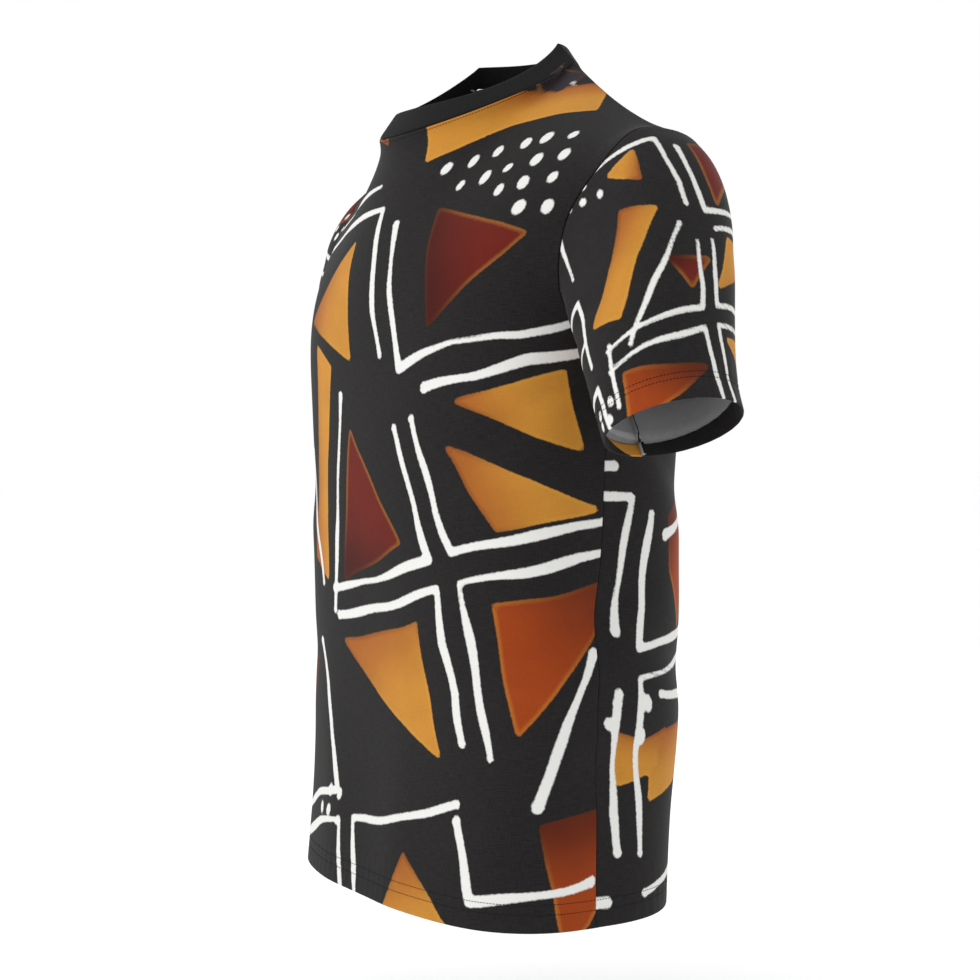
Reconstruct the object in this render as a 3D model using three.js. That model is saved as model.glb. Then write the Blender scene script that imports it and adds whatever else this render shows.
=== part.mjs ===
// A short-sleeved crew-neck t-shirt in printed cotton jersey, filled out as it is when worn.
// Five pieces: front, back, two sleeves and a rib neck band. Every piece is a thin wall.
// Millimetres. +X is the wearer's left, -Y the front, +Z up.
// The origin is the middle of the neck opening, level with the high shoulder points.
import * as THREE from 'three';

// cloth
const wall = 1.2; // printed jersey
const hemWall = 2.2; // the same cloth turned up on itself
const bandWall = 2.4; // rib folded double
const hemDepth = 24; // turned allowance at the bottom edge
const cuffDepth = 22; // turned allowance at the sleeve ends
const turnStep = 1.5; // height over which a turned edge thins back to one layer
const seamShift = 0.16; // each panel keeps this far from a seam line, so two panels are twice that apart
const sleeveGap = 0.55; // sleeve ring to armhole edge, both along the sleeve and sideways
const bandGap = 0.58; // neck band to neckline

// heights
const hemLevel = -710;
const underarmLevel = -240;
const foldFade = 60; // folds beside the armhole fade out over this height
const rowSag = 45; // how far the rows of the mesh dip from the side seam to the middle, below the underarm

// neck opening, an ellipse in plan that slopes down to the front
const neckHalfWidth = 95;
const neckFront = 90;
const neckRear = 83;
const neckFrontDrop = 64;
const neckFrontCurve = 0.85; // below 1, the neckline falls early and is flatter at the middle front
const neckRearDrop = 7;
const neckRearCurve = 1.6;
const highPointTurn = 121; // degrees round the neck from the middle front to the high shoulder point

// shoulder tip, where shoulder seam meets armhole
const tip = new THREE.Vector3(223, 28, -75);
const shoulderSag = 5; // the seam dips this far below a straight line

// armhole, how far it bows forward and back of the line from underarm to tip
const armholeFront = 55;
const armholeRear = 72;
const armholeRound = 0.8;
const armholeFlare = 0.55; // share of its height where the armhole starts to draw out to the tip

// how the chest and back roll over to the shoulder seam
const turnEase = 1.6; // how late the columns of the mesh turn sideways to their places on the top edge
const riseEase = 1.1; // how late its rows rise to the neckline and the shoulder seam
const squareOn = 0.998; // sine of the widest angle used above the underarm
const easeRounds = 14; // how often the chest and upper back are evened out between their seams
const easeRowsBelow = 4; // rows under the underarm that take part
const shoulderRise = 3.2;
const frontRoll = 0.95;
const rearRoll = 0.8;
const rollFrom = 0.3; // share of the half panel where the roll sets in
const rollOver = 0.2; // share of the half panel over which it does
const edgeFrom = 0.45; // share of the half panel from which points are drawn to the armhole
const foldEdgeFrom = 0.5; // share of the half panel from which folds fade towards the armhole
const foldTopRows = 0.5; // share of the rows above the underarm over which folds fade
const seamStep = 0.02; // share of the half panel over which the shoulder seam's direction is taken

// Sleeve ends, with x the distance out to each side. lift is degrees from straight down, and forward is
// how far forwards the front of the sleeve leaves the armhole. The right sleeve hangs further back.
const cuffs = {
  left: { x: 302, y: -13, z: -313, front: 57, side: 48, lift: 28, forward: 0 },
  right: { x: 290, y: 38, z: -313, front: 57, side: 48, lift: 28, forward: 0.6 },
};
const sleeveReach = 0.95; // pull of the shoulder end on the sleeve's shape, as a share of its length
const cuffReach = 0.75; // pull of the cuff end
const cuffClear = 0.02; // share of the sleeve's length between its last plain row and the turned cuff
// the way the sleeve leaves the armhole, and what is added to it over the top of the arm
const sleeveLeave = { side: 0.62, sideOver: 0.2, front: 0.08, down: 0.68, downOver: 0.16 };

// neck band
const bandRise = { front: 24, side: 15, rear: 24 }; // how far its top edge stands above the neckline
const bandLean = { front: 14, side: 17, rear: 8 }; // and how far inwards of it, most on the shoulders
const bandRim = 0.35; // share of the wall that the folded edge rounds off
const bandRimHeight = 0.05; // share of the band's height that it rounds off
const bandSwell = 0.1; // share of the wall by which the band swells outwards halfway up

// mesh
const halfColumns = 16; // from the middle of a panel to its side
const neckColumns = 7; // of those, the ones that end on the neckline
const neckShare = neckColumns / halfColumns;
const lowerRows = 17;
const upperRows = 13;
const sleeveColumns = 2 * upperRows; // a sleeve column for each row end on the armhole
const sleeveRows = 11;

// Horizontal sections of the body of the shirt. half is the half width at the side seam, front and rear
// the depths from the side seam, middle the side seam's own place from front to back. A round of 2 is an
// ellipse, and more is squarer.
const sections = [
  { z: -710, half: 197.0, front: 110, rear: 130.0, middle: -12.5, frontRound: 2.7, rearRound: 2.7 },
  { z: -640, half: 197.5, front: 103, rear: 134.0, middle: -12.0, frontRound: 2.7, rearRound: 2.7 },
  { z: -560, half: 196.0, front: 103, rear: 143.5, middle: -10.0, frontRound: 2.7, rearRound: 2.7 },
  { z: -470, half: 191.0, front: 110, rear: 144.0, middle: -7.0, frontRound: 2.7, rearRound: 2.7 },
  { z: -380, half: 190.5, front: 121, rear: 137.5, middle: -1.0, frontRound: 2.7, rearRound: 2.7 },
  { z: -290, half: 192.0, front: 126, rear: 135.0, middle: 1.0, frontRound: 2.7, rearRound: 2.8 },
  { z: -200, half: 198.0, front: 132, rear: 132.0, middle: 0.0, frontRound: 2.5, rearRound: 3.1 },
  { z: -130, half: 203.0, front: 118, rear: 125.0, middle: 5.0, frontRound: 2.3, rearRound: 3.5 },
  { z: -60, half: 211.0, front: 100, rear: 111.0, middle: 13.0, frontRound: 2.3, rearRound: 3.6 },
  { z: 20, half: 220.0, front: 86, rear: 92.0, middle: 12.0, frontRound: 2.3, rearRound: 3.6 },
];

// The largest soft folds. turn is degrees round the body from the middle front, to the wearer's left,
// tilt is degrees from upright, and a depth below zero is a trough.
const folds = [
  { turn: 84, z: -470, tilt: 62, width: 20, length: 75, depth: -4.5 },
  { turn: 80, z: -520, tilt: 68, width: 17, length: 65, depth: 3.5 },
  { turn: 92, z: -585, tilt: 80, width: 22, length: 60, depth: -4.0 },
  { turn: 70, z: -300, tilt: 48, width: 18, length: 70, depth: -4.0 },
  { turn: 62, z: -640, tilt: 12, width: 26, length: 90, depth: 3.0 },
  { turn: 118, z: -500, tilt: -60, width: 24, length: 80, depth: -4.0 },
  { turn: 112, z: -330, tilt: -50, width: 20, length: 75, depth: -4.0 },
  { turn: 140, z: -610, tilt: -10, width: 30, length: 110, depth: 3.5 },
  { turn: 25, z: -655, tilt: 6, width: 28, length: 80, depth: 2.5 },
  { turn: -30, z: -640, tilt: -9, width: 30, length: 90, depth: 3.0 },
  { turn: -72, z: -310, tilt: -46, width: 19, length: 72, depth: -4.0 },
  { turn: -82, z: -480, tilt: -64, width: 21, length: 78, depth: -4.5 },
  { turn: -88, z: -540, tilt: -72, width: 18, length: 62, depth: 3.5 },
  { turn: -115, z: -350, tilt: 52, width: 20, length: 78, depth: -4.0 },
  { turn: -124, z: -520, tilt: 58, width: 24, length: 84, depth: -3.5 },
  { turn: -146, z: -640, tilt: 9, width: 30, length: 100, depth: 3.0 },
];

const printedJersey = new THREE.MeshStandardMaterial({ color: 0x2a2624, roughness: 0.92, metalness: 0 });
const blackRib = new THREE.MeshStandardMaterial({ color: 0x121212, roughness: 0.95, metalness: 0 });

const radians = THREE.MathUtils.degToRad;
const smooth = (t) => THREE.MathUtils.smoothstep(t, 0, 1);
const mix = THREE.MathUtils.lerp;

// A smooth curve through one column of a table, with each row's slope taken from its neighbours.
function through(rows, column, z) {
  const last = rows.length - 1;
  const slopeBetween = (i) => (rows[i + 1][column] - rows[i][column]) / (rows[i + 1].z - rows[i].z);
  const slopeAt = (i) => {
    if (i === 0) return slopeBetween(0);
    if (i === last) return slopeBetween(last - 1);
    const before = rows[i].z - rows[i - 1].z;
    const after = rows[i + 1].z - rows[i].z;
    return (slopeBetween(i - 1) * after + slopeBetween(i) * before) / (before + after);
  };
  let i = 0;
  while (i < last - 1 && z >= rows[i + 1].z) i += 1;
  const span = rows[i + 1].z - rows[i].z;
  const t = THREE.MathUtils.clamp((z - rows[i].z) / span, 0, 1);
  const a = rows[i][column];
  const b = rows[i + 1][column];
  const rise = (2 * t ** 3 - 3 * t ** 2 + 1) * a + (3 * t ** 2 - 2 * t ** 3) * b;
  return rise + span * ((t ** 3 - 2 * t ** 2 + t) * slopeAt(i) + (t ** 3 - t ** 2) * slopeAt(i + 1));
}

// One horizontal section: its sizes on one side, 'front' or 'rear'.
function sectionAt(side, z) {
  return {
    half: through(sections, 'half', z),
    depth: through(sections, side, z),
    middle: through(sections, 'middle', z),
    round: through(sections, side === 'front' ? 'frontRound' : 'rearRound', z),
  };
}

// A point of the body at an angle from the middle of the panel (0) to the side seam (a quarter turn).
function bodyPoint(side, angle, z) {
  const s = sectionAt(side, z);
  const across = Math.sin(angle);
  const depth = s.depth * Math.max(0, 1 - across ** s.round) ** (1 / s.round);
  return new THREE.Vector3(s.half * across, s.middle + (side === 'front' ? -depth : depth), z);
}

// The neckline, from the middle of a panel (0) to the high shoulder point (1).
function neckline(side, share) {
  const high = radians(highPointTurn);
  const highPoint = new THREE.Vector3(neckHalfWidth * Math.sin(high), -neckRear * Math.cos(high), 0);
  const angle = side === 'front' ? share * high : Math.PI - share * (Math.PI - high);
  const x = neckHalfWidth * Math.sin(angle);
  const y = -Math.cos(angle) * (Math.cos(angle) > 0 ? neckFront : neckRear);
  const fall = side === 'front'
    ? neckFrontDrop * Math.max(0, (highPoint.y - y) / (highPoint.y + neckFront)) ** neckFrontCurve
    : neckRearDrop * Math.max(0, (y - highPoint.y) / (neckRear - highPoint.y)) ** neckRearCurve;
  return new THREE.Vector3(x, y, -fall);
}

// The top edge of a panel: neckline, then shoulder seam.
function topEdge(side, u) {
  if (u <= neckShare) return neckline(side, u / neckShare);
  const t = (u - neckShare) / (1 - neckShare);
  const point = neckline(side, 1).lerp(tip, t);
  point.z -= shoulderSag * Math.sin(Math.PI * t);
  return point;
}

// The armhole edge of a panel, from the underarm (0) to the shoulder tip (half a turn). angle is where
// the body's own section has the same depth.
function armhole(side, turn) {
  const z = mix(underarmLevel, tip.z, (1 - Math.cos(turn)) / 2);
  const t = (z - underarmLevel) / (tip.z - underarmLevel);
  const bow = (side === 'front' ? -armholeFront : armholeRear) * Math.max(0, Math.sin(turn)) ** armholeRound;
  const y = mix(sectionAt(side, underarmLevel).middle, tip.y, smooth(t)) + bow;
  const s = sectionAt(side, z);
  const depth = Math.min(1, Math.abs(y - s.middle) / s.depth);
  const across = (1 - depth ** s.round) ** (1 / s.round);
  const out = smooth((t - armholeFlare) / (1 - armholeFlare));
  const place = new THREE.Vector3(mix(s.half * across, tip.x, out), y, z);
  return { place, angle: Math.asin(Math.min(turn === 0 ? 1 : squareOn, across)) };
}

// Soft folds push the cloth out or in, along its own normal.
function foldHeight(point) {
  const turn = Math.atan2(point.x, -point.y);
  let height = 0;
  for (const fold of folds) {
    let away = turn - radians(fold.turn);
    away = Math.atan2(Math.sin(away), Math.cos(away)) * Math.hypot(point.x, point.y);
    const up = point.z - fold.z;
    const tilt = radians(fold.tilt);
    const over = away * Math.cos(tilt) - up * Math.sin(tilt);
    const along = away * Math.sin(tilt) + up * Math.cos(tilt);
    height += fold.depth * Math.exp(-((over / fold.width) ** 2) - (along / fold.length) ** 2);
  }
  return height;
}

// The left half of one row of a panel, between hem and underarm.
function lowerRow(side, share) {
  const row = [];
  for (let i = 0; i <= halfColumns; i += 1) {
    const u = i / halfColumns;
    const z = mix(hemLevel, underarmLevel, share) - rowSag * share * (1 - u * u);
    row.push(bodyPoint(side, u * Math.PI / 2, z));
  }
  return row;
}

// The left half of one row of a panel, between the underarm (0) and the top edge (1). Angle and height
// are blended from the four edges, and the points are then eased onto the armhole and the top edge.
function upperRow(side, v) {
  if (v === 1) return Array.from({ length: halfColumns + 1 }, (_, i) => topEdge(side, i / halfColumns));
  const angleOf = (point) => Math.asin(Math.min(squareOn, point.x / sectionAt(side, point.z).half));
  const { place: edge, angle: edgeAngle } = armhole(side, Math.PI * v);
  const edgeMiss = edge.clone().sub(bodyPoint(side, edgeAngle, edge.z));
  const corner = topEdge(side, 1);
  const cornerAngle = angleOf(corner);
  const cornerMiss = corner.clone().sub(bodyPoint(side, cornerAngle, corner.z));
  const middleBottom = underarmLevel - rowSag;
  const middleTop = topEdge(side, 0).z;
  const roll = side === 'front' ? frontRoll : rearRoll;
  const row = [];
  for (let i = 0; i <= halfColumns; i += 1) {
    const u = i / halfColumns;
    const top = topEdge(side, u);
    const topAngle = angleOf(top);
    const bottomZ = underarmLevel - rowSag * (1 - u * u);
    const late = v ** turnEase;
    const angle = u * edgeAngle + late * (topAngle - u * cornerAngle);
    const z = mix(mix(middleBottom, middleTop, v), edge.z, u)
      + (1 - v) * (bottomZ - mix(middleBottom, underarmLevel, u))
      + v ** riseEase * (top.z - mix(middleTop, corner.z, u));
    const point = bodyPoint(side, angle, z);
    const power = mix(1, roll, smooth((u - rollFrom) / rollOver));
    const toTop = 1 - (1 - v ** shoulderRise) ** power;
    const toEdge = smooth((u - edgeFrom) / (1 - edgeFrom));
    const topMiss = top.clone().sub(bodyPoint(side, topAngle, top.z));
    point.addScaledVector(topMiss, toTop).addScaledVector(edgeMiss, toEdge);
    point.addScaledVector(cornerMiss, -toTop * toEdge);
    point.z = z;
    row.push(point);
  }
  return row;
}

// A whole row from its left half: the wearer's right comes first.
function mirrored(row) {
  const other = row.slice(1).reverse().map((p) => new THREE.Vector3(-p.x, p.y, p.z));
  return [...other, ...row];
}

// Cloth is drawn smooth between its seams: inner points move to the middle of their neighbours.
function eased(grid, firstRow) {
  let now = grid;
  for (let round = 0; round < easeRounds; round += 1) {
    const before = now;
    now = before.map((row, j) => row.map((point, i) => {
      const fixed = j < firstRow || j === before.length - 1 || i === 0 || i === row.length - 1;
      if (fixed) return point;
      const middle = new THREE.Vector3();
      for (const near of [before[j - 1][i], before[j + 1][i], row[i - 1], row[i + 1]]) {
        middle.addScaledVector(near, 0.25);
      }
      return point.clone().lerp(middle, 0.5);
    }));
  }
  return now;
}

// Outward normals of a grid of points. flip turns them round. A closed grid meets itself across.
function gridNormals(grid, flip, closed) {
  const rows = grid.length;
  const columns = grid[0].length;
  return grid.map((row, j) => row.map((_, i) => {
    const before = closed ? (i + columns - 1) % columns : Math.max(0, i - 1);
    const after = closed ? (i + 1) % columns : Math.min(columns - 1, i + 1);
    const across = grid[j][after].clone().sub(grid[j][before]);
    const up = grid[Math.min(rows - 1, j + 1)][i].clone().sub(grid[Math.max(0, j - 1)][i]);
    const normal = across.cross(up).normalize();
    return flip ? normal.negate() : normal;
  }));
}

// A closed wall between an outer and an inner grid of points.
function wallGeometry(outer, inner, flip, closed) {
  const rows = outer.length;
  const columns = outer[0].length;
  const points = [...outer.flat(), ...inner.flat()];
  const index = [];
  const innerStart = rows * columns;
  const at = (j, i) => j * columns + (i % columns);
  const quad = (a, b, c, d) => {
    if (flip) index.push(a, c, b, a, d, c);
    else index.push(a, b, c, a, c, d);
  };
  const spans = closed ? columns : columns - 1;
  for (let j = 0; j < rows - 1; j += 1) {
    for (let i = 0; i < spans; i += 1) {
      const [a, b, c, d] = [at(j, i), at(j, i + 1), at(j + 1, i + 1), at(j + 1, i)];
      quad(a, b, c, d);
      quad(innerStart + d, innerStart + c, innerStart + b, innerStart + a);
    }
  }
  for (let i = 0; i < spans; i += 1) {
    const [a, b] = [at(0, i), at(0, i + 1)];
    quad(innerStart + a, innerStart + b, b, a);
    const [c, d] = [at(rows - 1, i), at(rows - 1, i + 1)];
    quad(c, d, innerStart + d, innerStart + c);
  }
  for (let j = 0; j < rows - 1 && !closed; j += 1) {
    const [a, b] = [at(j, 0), at(j + 1, 0)];
    quad(a, b, innerStart + b, innerStart + a);
    const [c, d] = [at(j, columns - 1), at(j + 1, columns - 1)];
    quad(innerStart + c, innerStart + d, d, c);
  }
  const geometry = new THREE.BufferGeometry();
  geometry.setAttribute('position', new THREE.Float32BufferAttribute(points.flatMap((p) => p.toArray()), 3));
  geometry.setIndex(index);
  geometry.computeVertexNormals();
  return geometry;
}

// The direction in which the wall is thick along the shoulder seam, shared by both panels.
function shoulderNormal(u) {
  const before = Math.max(neckShare, u - seamStep);
  const along = topEdge('front', Math.min(1, u + seamStep)).sub(topEdge('front', before));
  along.normalize();
  const up = new THREE.Vector3(0, 0, 1);
  return up.addScaledVector(along, -up.dot(along)).normalize();
}

// The level direction in which the wall is thick at the neckline, shared by the panels and the neck band.
function neckInward(point) {
  return new THREE.Vector3(-point.x / neckHalfWidth, -point.y / neckFront, 0).normalize();
}

function panelMesh(name, side) {
  const height = underarmLevel - hemLevel;
  const shares = [0, hemDepth / height, (hemDepth + turnStep) / height];
  const firstPlain = 2 / lowerRows;
  for (let j = 1; j <= lowerRows - 2; j += 1) shares.push(mix(firstPlain, 1, (j - 1) / (lowerRows - 2)));
  const rows = shares.map((share) => mirrored(lowerRow(side, share)));
  for (let j = 0; j <= upperRows; j += 1) rows.push(mirrored(upperRow(side, j / upperRows)));
  const lowerCount = shares.length;
  const grid = eased(rows, lowerCount - easeRowsBelow);
  const facesBack = side === 'rear';
  const plain = gridNormals(grid, facesBack, false);
  const lastColumn = 2 * halfColumns;
  const shift = facesBack ? seamShift : -seamShift;
  // folds fade out towards the armhole and the top edge
  const foldShare = (j, i) => {
    const across = Math.abs(i - halfColumns) / halfColumns;
    const nearEdge = smooth((across - foldEdgeFrom) / (1 - foldEdgeFrom));
    const nearArm = smooth((grid[j][i].z - underarmLevel + foldFade) / foldFade);
    const nearTop = smooth((j - lowerCount) / (upperRows * foldTopRows));
    return (1 - nearEdge * nearArm) * (1 - nearTop);
  };
  const outer = grid.map((row, j) => row.map((point, i) => {
    const moved = point.clone().addScaledVector(plain[j][i], foldHeight(point) * foldShare(j, i));
    moved.y += shift;
    return moved;
  }));
  // folds cross the side seam, so both panels take the same place there
  const normals = gridNormals(outer, facesBack, false);
  outer.forEach((row, j) => {
    for (const i of [0, lastColumn]) {
      if (j > lowerCount) continue;
      const point = grid[j][i];
      const push = Math.sign(point.x) * foldHeight(point) * foldShare(j, i);
      row[i].set(point.x + push, point.y + shift, point.z);
      normals[j][i].set(Math.sign(point.x), 0, 0);
    }
  });
  normals[grid.length - 1].forEach((normal, i) => {
    const u = Math.abs(i - halfColumns) / halfColumns;
    if (u < neckShare) {
      normal.copy(neckInward(grid[grid.length - 1][i])).negate();
      return;
    }
    const shared = shoulderNormal(u);
    if (i < halfColumns) shared.x *= -1;
    normal.copy(shared);
  });
  const inner = outer.map((row, j) => row.map((point, i) => {
    const thick = j < 2 ? hemWall : wall;
    return point.clone().addScaledVector(normals[j][i], -thick);
  }));
  const mesh = new THREE.Mesh(wallGeometry(outer, inner, facesBack, false), printedJersey);
  mesh.name = name;
  return mesh;
}

// The ring of the armhole: 0 is the shoulder tip, a quarter turn the front, half a turn the underarm.
function armholeRing(turn) {
  return turn <= Math.PI ? armhole('front', Math.PI - turn).place : armhole('rear', turn - Math.PI).place;
}

function cuffRing(turn, cuff) {
  const lift = radians(cuff.lift);
  const sideways = new THREE.Vector3(Math.cos(lift), 0, Math.sin(lift));
  const ring = new THREE.Vector3(cuff.x, cuff.y - Math.sin(turn) * cuff.front, cuff.z);
  return ring.addScaledVector(sideways, Math.cos(turn) * cuff.side);
}

// A point of a sleeve on the wearer's left: turn round it, and share of the way from armhole to cuff.
function sleevePoint(turn, share, cuff) {
  const lift = radians(cuff.lift);
  const over = Math.cos(turn);
  const start = armholeRing(turn);
  const end = cuffRing(turn, cuff);
  const length = start.distanceTo(end);
  const leave = new THREE.Vector3(
    sleeveLeave.side + sleeveLeave.sideOver * over,
    -sleeveLeave.front * Math.sin(turn) - cuff.forward * (1 + Math.sin(turn)) / 2,
    sleeveLeave.downOver * over - sleeveLeave.down,
  ).normalize();
  const arrive = new THREE.Vector3(Math.sin(lift), 0, -Math.cos(lift));
  start.addScaledVector(leave, sleeveGap);
  start.x += sleeveGap;
  const t = share;
  return new THREE.Vector3()
    .addScaledVector(start, 2 * t ** 3 - 3 * t ** 2 + 1)
    .addScaledVector(end, 3 * t ** 2 - 2 * t ** 3)
    .addScaledVector(leave, (t ** 3 - 2 * t ** 2 + t) * length * sleeveReach)
    .addScaledVector(arrive, (t ** 3 - t ** 2) * length * cuffReach);
}

function sleeveMesh(name, sign, cuff) {
  const sleeveLength = armholeRing(0).distanceTo(cuffRing(0, cuff));
  const shares = [];
  const turnStart = 1 - cuffDepth / sleeveLength;
  for (let j = 0; j < sleeveRows; j += 1) shares.push(j / sleeveRows * (turnStart - cuffClear));
  shares.push(turnStart - turnStep / sleeveLength, turnStart, 1);
  const outer = shares.map((share) => {
    const ring = [];
    for (let i = 0; i < sleeveColumns; i += 1) {
      const point = sleevePoint(2 * Math.PI * i / sleeveColumns, share, cuff);
      point.x *= sign;
      ring.push(point);
    }
    return ring;
  });
  const flip = sign < 0;
  const normals = gridNormals(outer, flip, true);
  const inner = outer.map((row, j) => row.map((point, i) => {
    const thick = j >= shares.length - 2 ? hemWall : wall;
    return point.clone().addScaledVector(normals[j][i], -thick);
  }));
  const mesh = new THREE.Mesh(wallGeometry(outer, inner, flip, true), printedJersey);
  mesh.name = name;
  return mesh;
}

// The neckline all round, from the middle front by the wearer's left, at the panels' own columns.
function neckRing() {
  const left = [];
  for (let k = 0; k <= neckColumns; k += 1) left.push(neckline('front', k / neckColumns));
  for (let k = neckColumns - 1; k >= 0; k -= 1) left.push(neckline('rear', k / neckColumns));
  const right = left.slice(1, -1).reverse().map((p) => new THREE.Vector3(-p.x, p.y, p.z));
  return [...left, ...right];
}

// A size of the band at a point of the neckline, blended from those at the front, the sides and the rear.
function bandSize(sizes, base) {
  const away = base.y / Math.hypot(base.y, base.x * neckFront / neckHalfWidth);
  return mix(sizes.side, away < 0 ? sizes.front : sizes.rear, away ** 2);
}

// The folded rib band: a ring whose section is a tall narrow loop with a rounded top.
function bandMesh(name) {
  const profile = [
    { up: 0, inward: 0 },
    { up: 0.5, inward: -bandSwell },
    { up: 1 - bandRimHeight, inward: 0 },
    { up: 1, inward: bandRim },
    { up: 1, inward: 1 - bandRim },
    { up: 1 - bandRimHeight, inward: 1 },
    { up: 0, inward: 1 },
  ];
  const ring = neckRing();
  const rings = profile.map(({ up, inward }) => ring.map((base) => {
    const point = base.clone();
    point.z += bandGap + bandSize(bandRise, base) * up;
    return point.addScaledVector(neckInward(base), bandSize(bandLean, base) * up + inward * bandWall);
  }));
  const count = ring.length;
  const index = [];
  for (let k = 0; k < profile.length; k += 1) {
    const next = (k + 1) % profile.length;
    for (let i = 0; i < count; i += 1) {
      const j = (i + 1) % count;
      const [a, b, c, d] = [k * count + i, k * count + j, next * count + j, next * count + i];
      index.push(a, b, c, a, c, d);
    }
  }
  const geometry = new THREE.BufferGeometry();
  const places = rings.flat().flatMap((p) => p.toArray());
  geometry.setAttribute('position', new THREE.Float32BufferAttribute(places, 3));
  geometry.setIndex(index);
  geometry.computeVertexNormals();
  const mesh = new THREE.Mesh(geometry, blackRib);
  mesh.name = name;
  return mesh;
}

const shirt = new THREE.Group();
shirt.add(panelMesh('front', 'front'));
shirt.add(panelMesh('back', 'rear'));
shirt.add(sleeveMesh('sleeve_left', 1, cuffs.left));
shirt.add(sleeveMesh('sleeve_right', -1, cuffs.right));
shirt.add(bandMesh('neck_band'));

export default shirt;
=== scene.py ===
# A short-sleeved crew-neck t-shirt in printed cotton jersey, filled out as it is when worn.
# +X is the wearer's left, -Y the front, +Z up. Tables are in millimetres and degrees.
import math
from copy import copy
from functools import lru_cache
from types import SimpleNamespace

import bmesh
import bpy
import numpy as np
from bpy.props import FloatProperty
from bpy.props import FloatVectorProperty
from bpy.props import PointerProperty
from mathutils import Matrix


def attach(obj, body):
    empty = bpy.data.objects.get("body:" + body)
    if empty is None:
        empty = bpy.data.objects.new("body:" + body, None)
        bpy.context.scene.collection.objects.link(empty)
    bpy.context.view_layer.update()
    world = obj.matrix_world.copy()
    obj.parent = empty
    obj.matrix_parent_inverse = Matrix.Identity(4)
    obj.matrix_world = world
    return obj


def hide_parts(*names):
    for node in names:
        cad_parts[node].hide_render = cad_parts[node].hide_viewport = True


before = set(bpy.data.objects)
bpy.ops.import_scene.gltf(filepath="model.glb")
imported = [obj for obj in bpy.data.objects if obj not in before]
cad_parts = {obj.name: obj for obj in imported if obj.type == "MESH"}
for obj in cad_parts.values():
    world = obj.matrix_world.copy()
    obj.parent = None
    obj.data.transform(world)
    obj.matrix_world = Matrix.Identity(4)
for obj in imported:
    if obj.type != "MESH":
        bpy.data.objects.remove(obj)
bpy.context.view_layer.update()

bl_info = {
    "name": "Mud cloth t-shirt",
    "version": (1, 0, 0),
    "blender": (4, 5, 0),
    "location": "View3D > Sidebar > T-shirt",
    "description": "Makes a crew-neck t-shirt in a printed mud cloth pattern",
    "category": "Add Mesh",
}

MM = 0.001

# Form of the shirt

HEM = -710.0
UNDERARM = -240.0
ROW_SAG = 45.0
HEM_DEPTH = 24.0
CUFF_DEPTH = 22.0
SEAM_SHIFT = 0.16
SLEEVE_GAP = 0.55
BAND_GAP = 0.58

NECK_HALF_WIDTH = 95.0
NECK_FRONT = 90.0
NECK_REAR = 83.0
NECK_FRONT_DROP = 64.0
NECK_FRONT_CURVE = 0.85
NECK_REAR_DROP = 7.0
NECK_REAR_CURVE = 1.6
HIGH_POINT_TURN = math.radians(121)

TIP = np.array([223.0, 28.0, -75.0])
SHOULDER_SAG = 5.0

ARMHOLE_FRONT = 55.0
ARMHOLE_REAR = 72.0
ARMHOLE_ROUND = 0.8
ARMHOLE_FLARE = 0.55

# how the rows of a panel ease from the round of the body to its top edge and its armhole
TURN_EASE = 1.6
RISE_EASE = 1.1
SQUARE_ON = 0.998
EASE_ROUNDS = 14
EASE_ROWS_BELOW = 4
SHOULDER_RISE = 3.2
FRONT_ROLL = 0.95
REAR_ROLL = 0.8
ROLL_FROM = 0.3
ROLL_OVER = 0.2
EDGE_FROM = 0.45
FOLD_EDGE_FROM = 0.5
FOLD_TOP_ROWS = 0.5

# the middle of each sleeve end, and how far forwards the front of the sleeve leaves the armhole
SLEEVE_HANG = {1: {"x": 302.0, "y": -13.0, "forward": 0.0}, -1: {"x": 290.0, "y": 38.0, "forward": 0.6}}
CUFF = {"z": -313.0, "front": 57.0, "side": 48.0, "lift": math.radians(28)}
SLEEVE_REACH = 0.95
CUFF_REACH = 0.75
SLEEVE_LEAVE = {"side": 0.62, "side_over": 0.2, "front": 0.08, "down": 0.68, "down_over": 0.16}

# how far the band's top edge stands above the neckline and inwards of it
BAND_RISE = {"front": 24.0, "side": 15.0, "rear": 24.0}
BAND_LEAN = {"front": 14.0, "side": 17.0, "rear": 8.0}
BAND_WALL = 2.4

HALF_COLUMNS = 16
NECK_COLUMNS = 7
NECK_SHARE = NECK_COLUMNS / HALF_COLUMNS
LOWER_ROWS = 17
UPPER_ROWS = 13
SLEEVE_COLUMNS = 2 * UPPER_ROWS
SLEEVE_ROWS = 12

# z, half width at the side seam, depth to the front and to the rear of it, the side seam's own place from
# front to back, and how square the front and the rear are
SECTIONS = np.array(
    [
        (-710, 197.0, 110, 130.0, -12.5, 2.7, 2.7),
        (-640, 197.5, 103, 134.0, -12.0, 2.7, 2.7),
        (-560, 196.0, 103, 143.5, -10.0, 2.7, 2.7),
        (-470, 191.0, 110, 144.0, -7.0, 2.7, 2.7),
        (-380, 190.5, 121, 137.5, -1.0, 2.7, 2.7),
        (-290, 192.0, 126, 135.0, 1.0, 2.7, 2.8),
        (-200, 198.0, 132, 132.0, 0.0, 2.5, 3.1),
        (-130, 203.0, 118, 125.0, 5.0, 2.3, 3.5),
        (-60, 211.0, 100, 111.0, 13.0, 2.3, 3.6),
        (20, 220.0, 86, 92.0, 12.0, 2.3, 3.6),
    ],
    dtype=float,
)
HALF, FRONT, REAR, MIDDLE, FRONT_ROUND, REAR_ROUND = range(1, 7)

# the columns of SECTIONS and the values that each panel uses, and which way it faces
PANELS = {
    "front": {"depth": FRONT, "round": FRONT_ROUND, "way": -1, "bow": ARMHOLE_FRONT, "roll": FRONT_ROLL},
    "rear": {"depth": REAR, "round": REAR_ROUND, "way": 1, "bow": ARMHOLE_REAR, "roll": REAR_ROLL},
}

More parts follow.
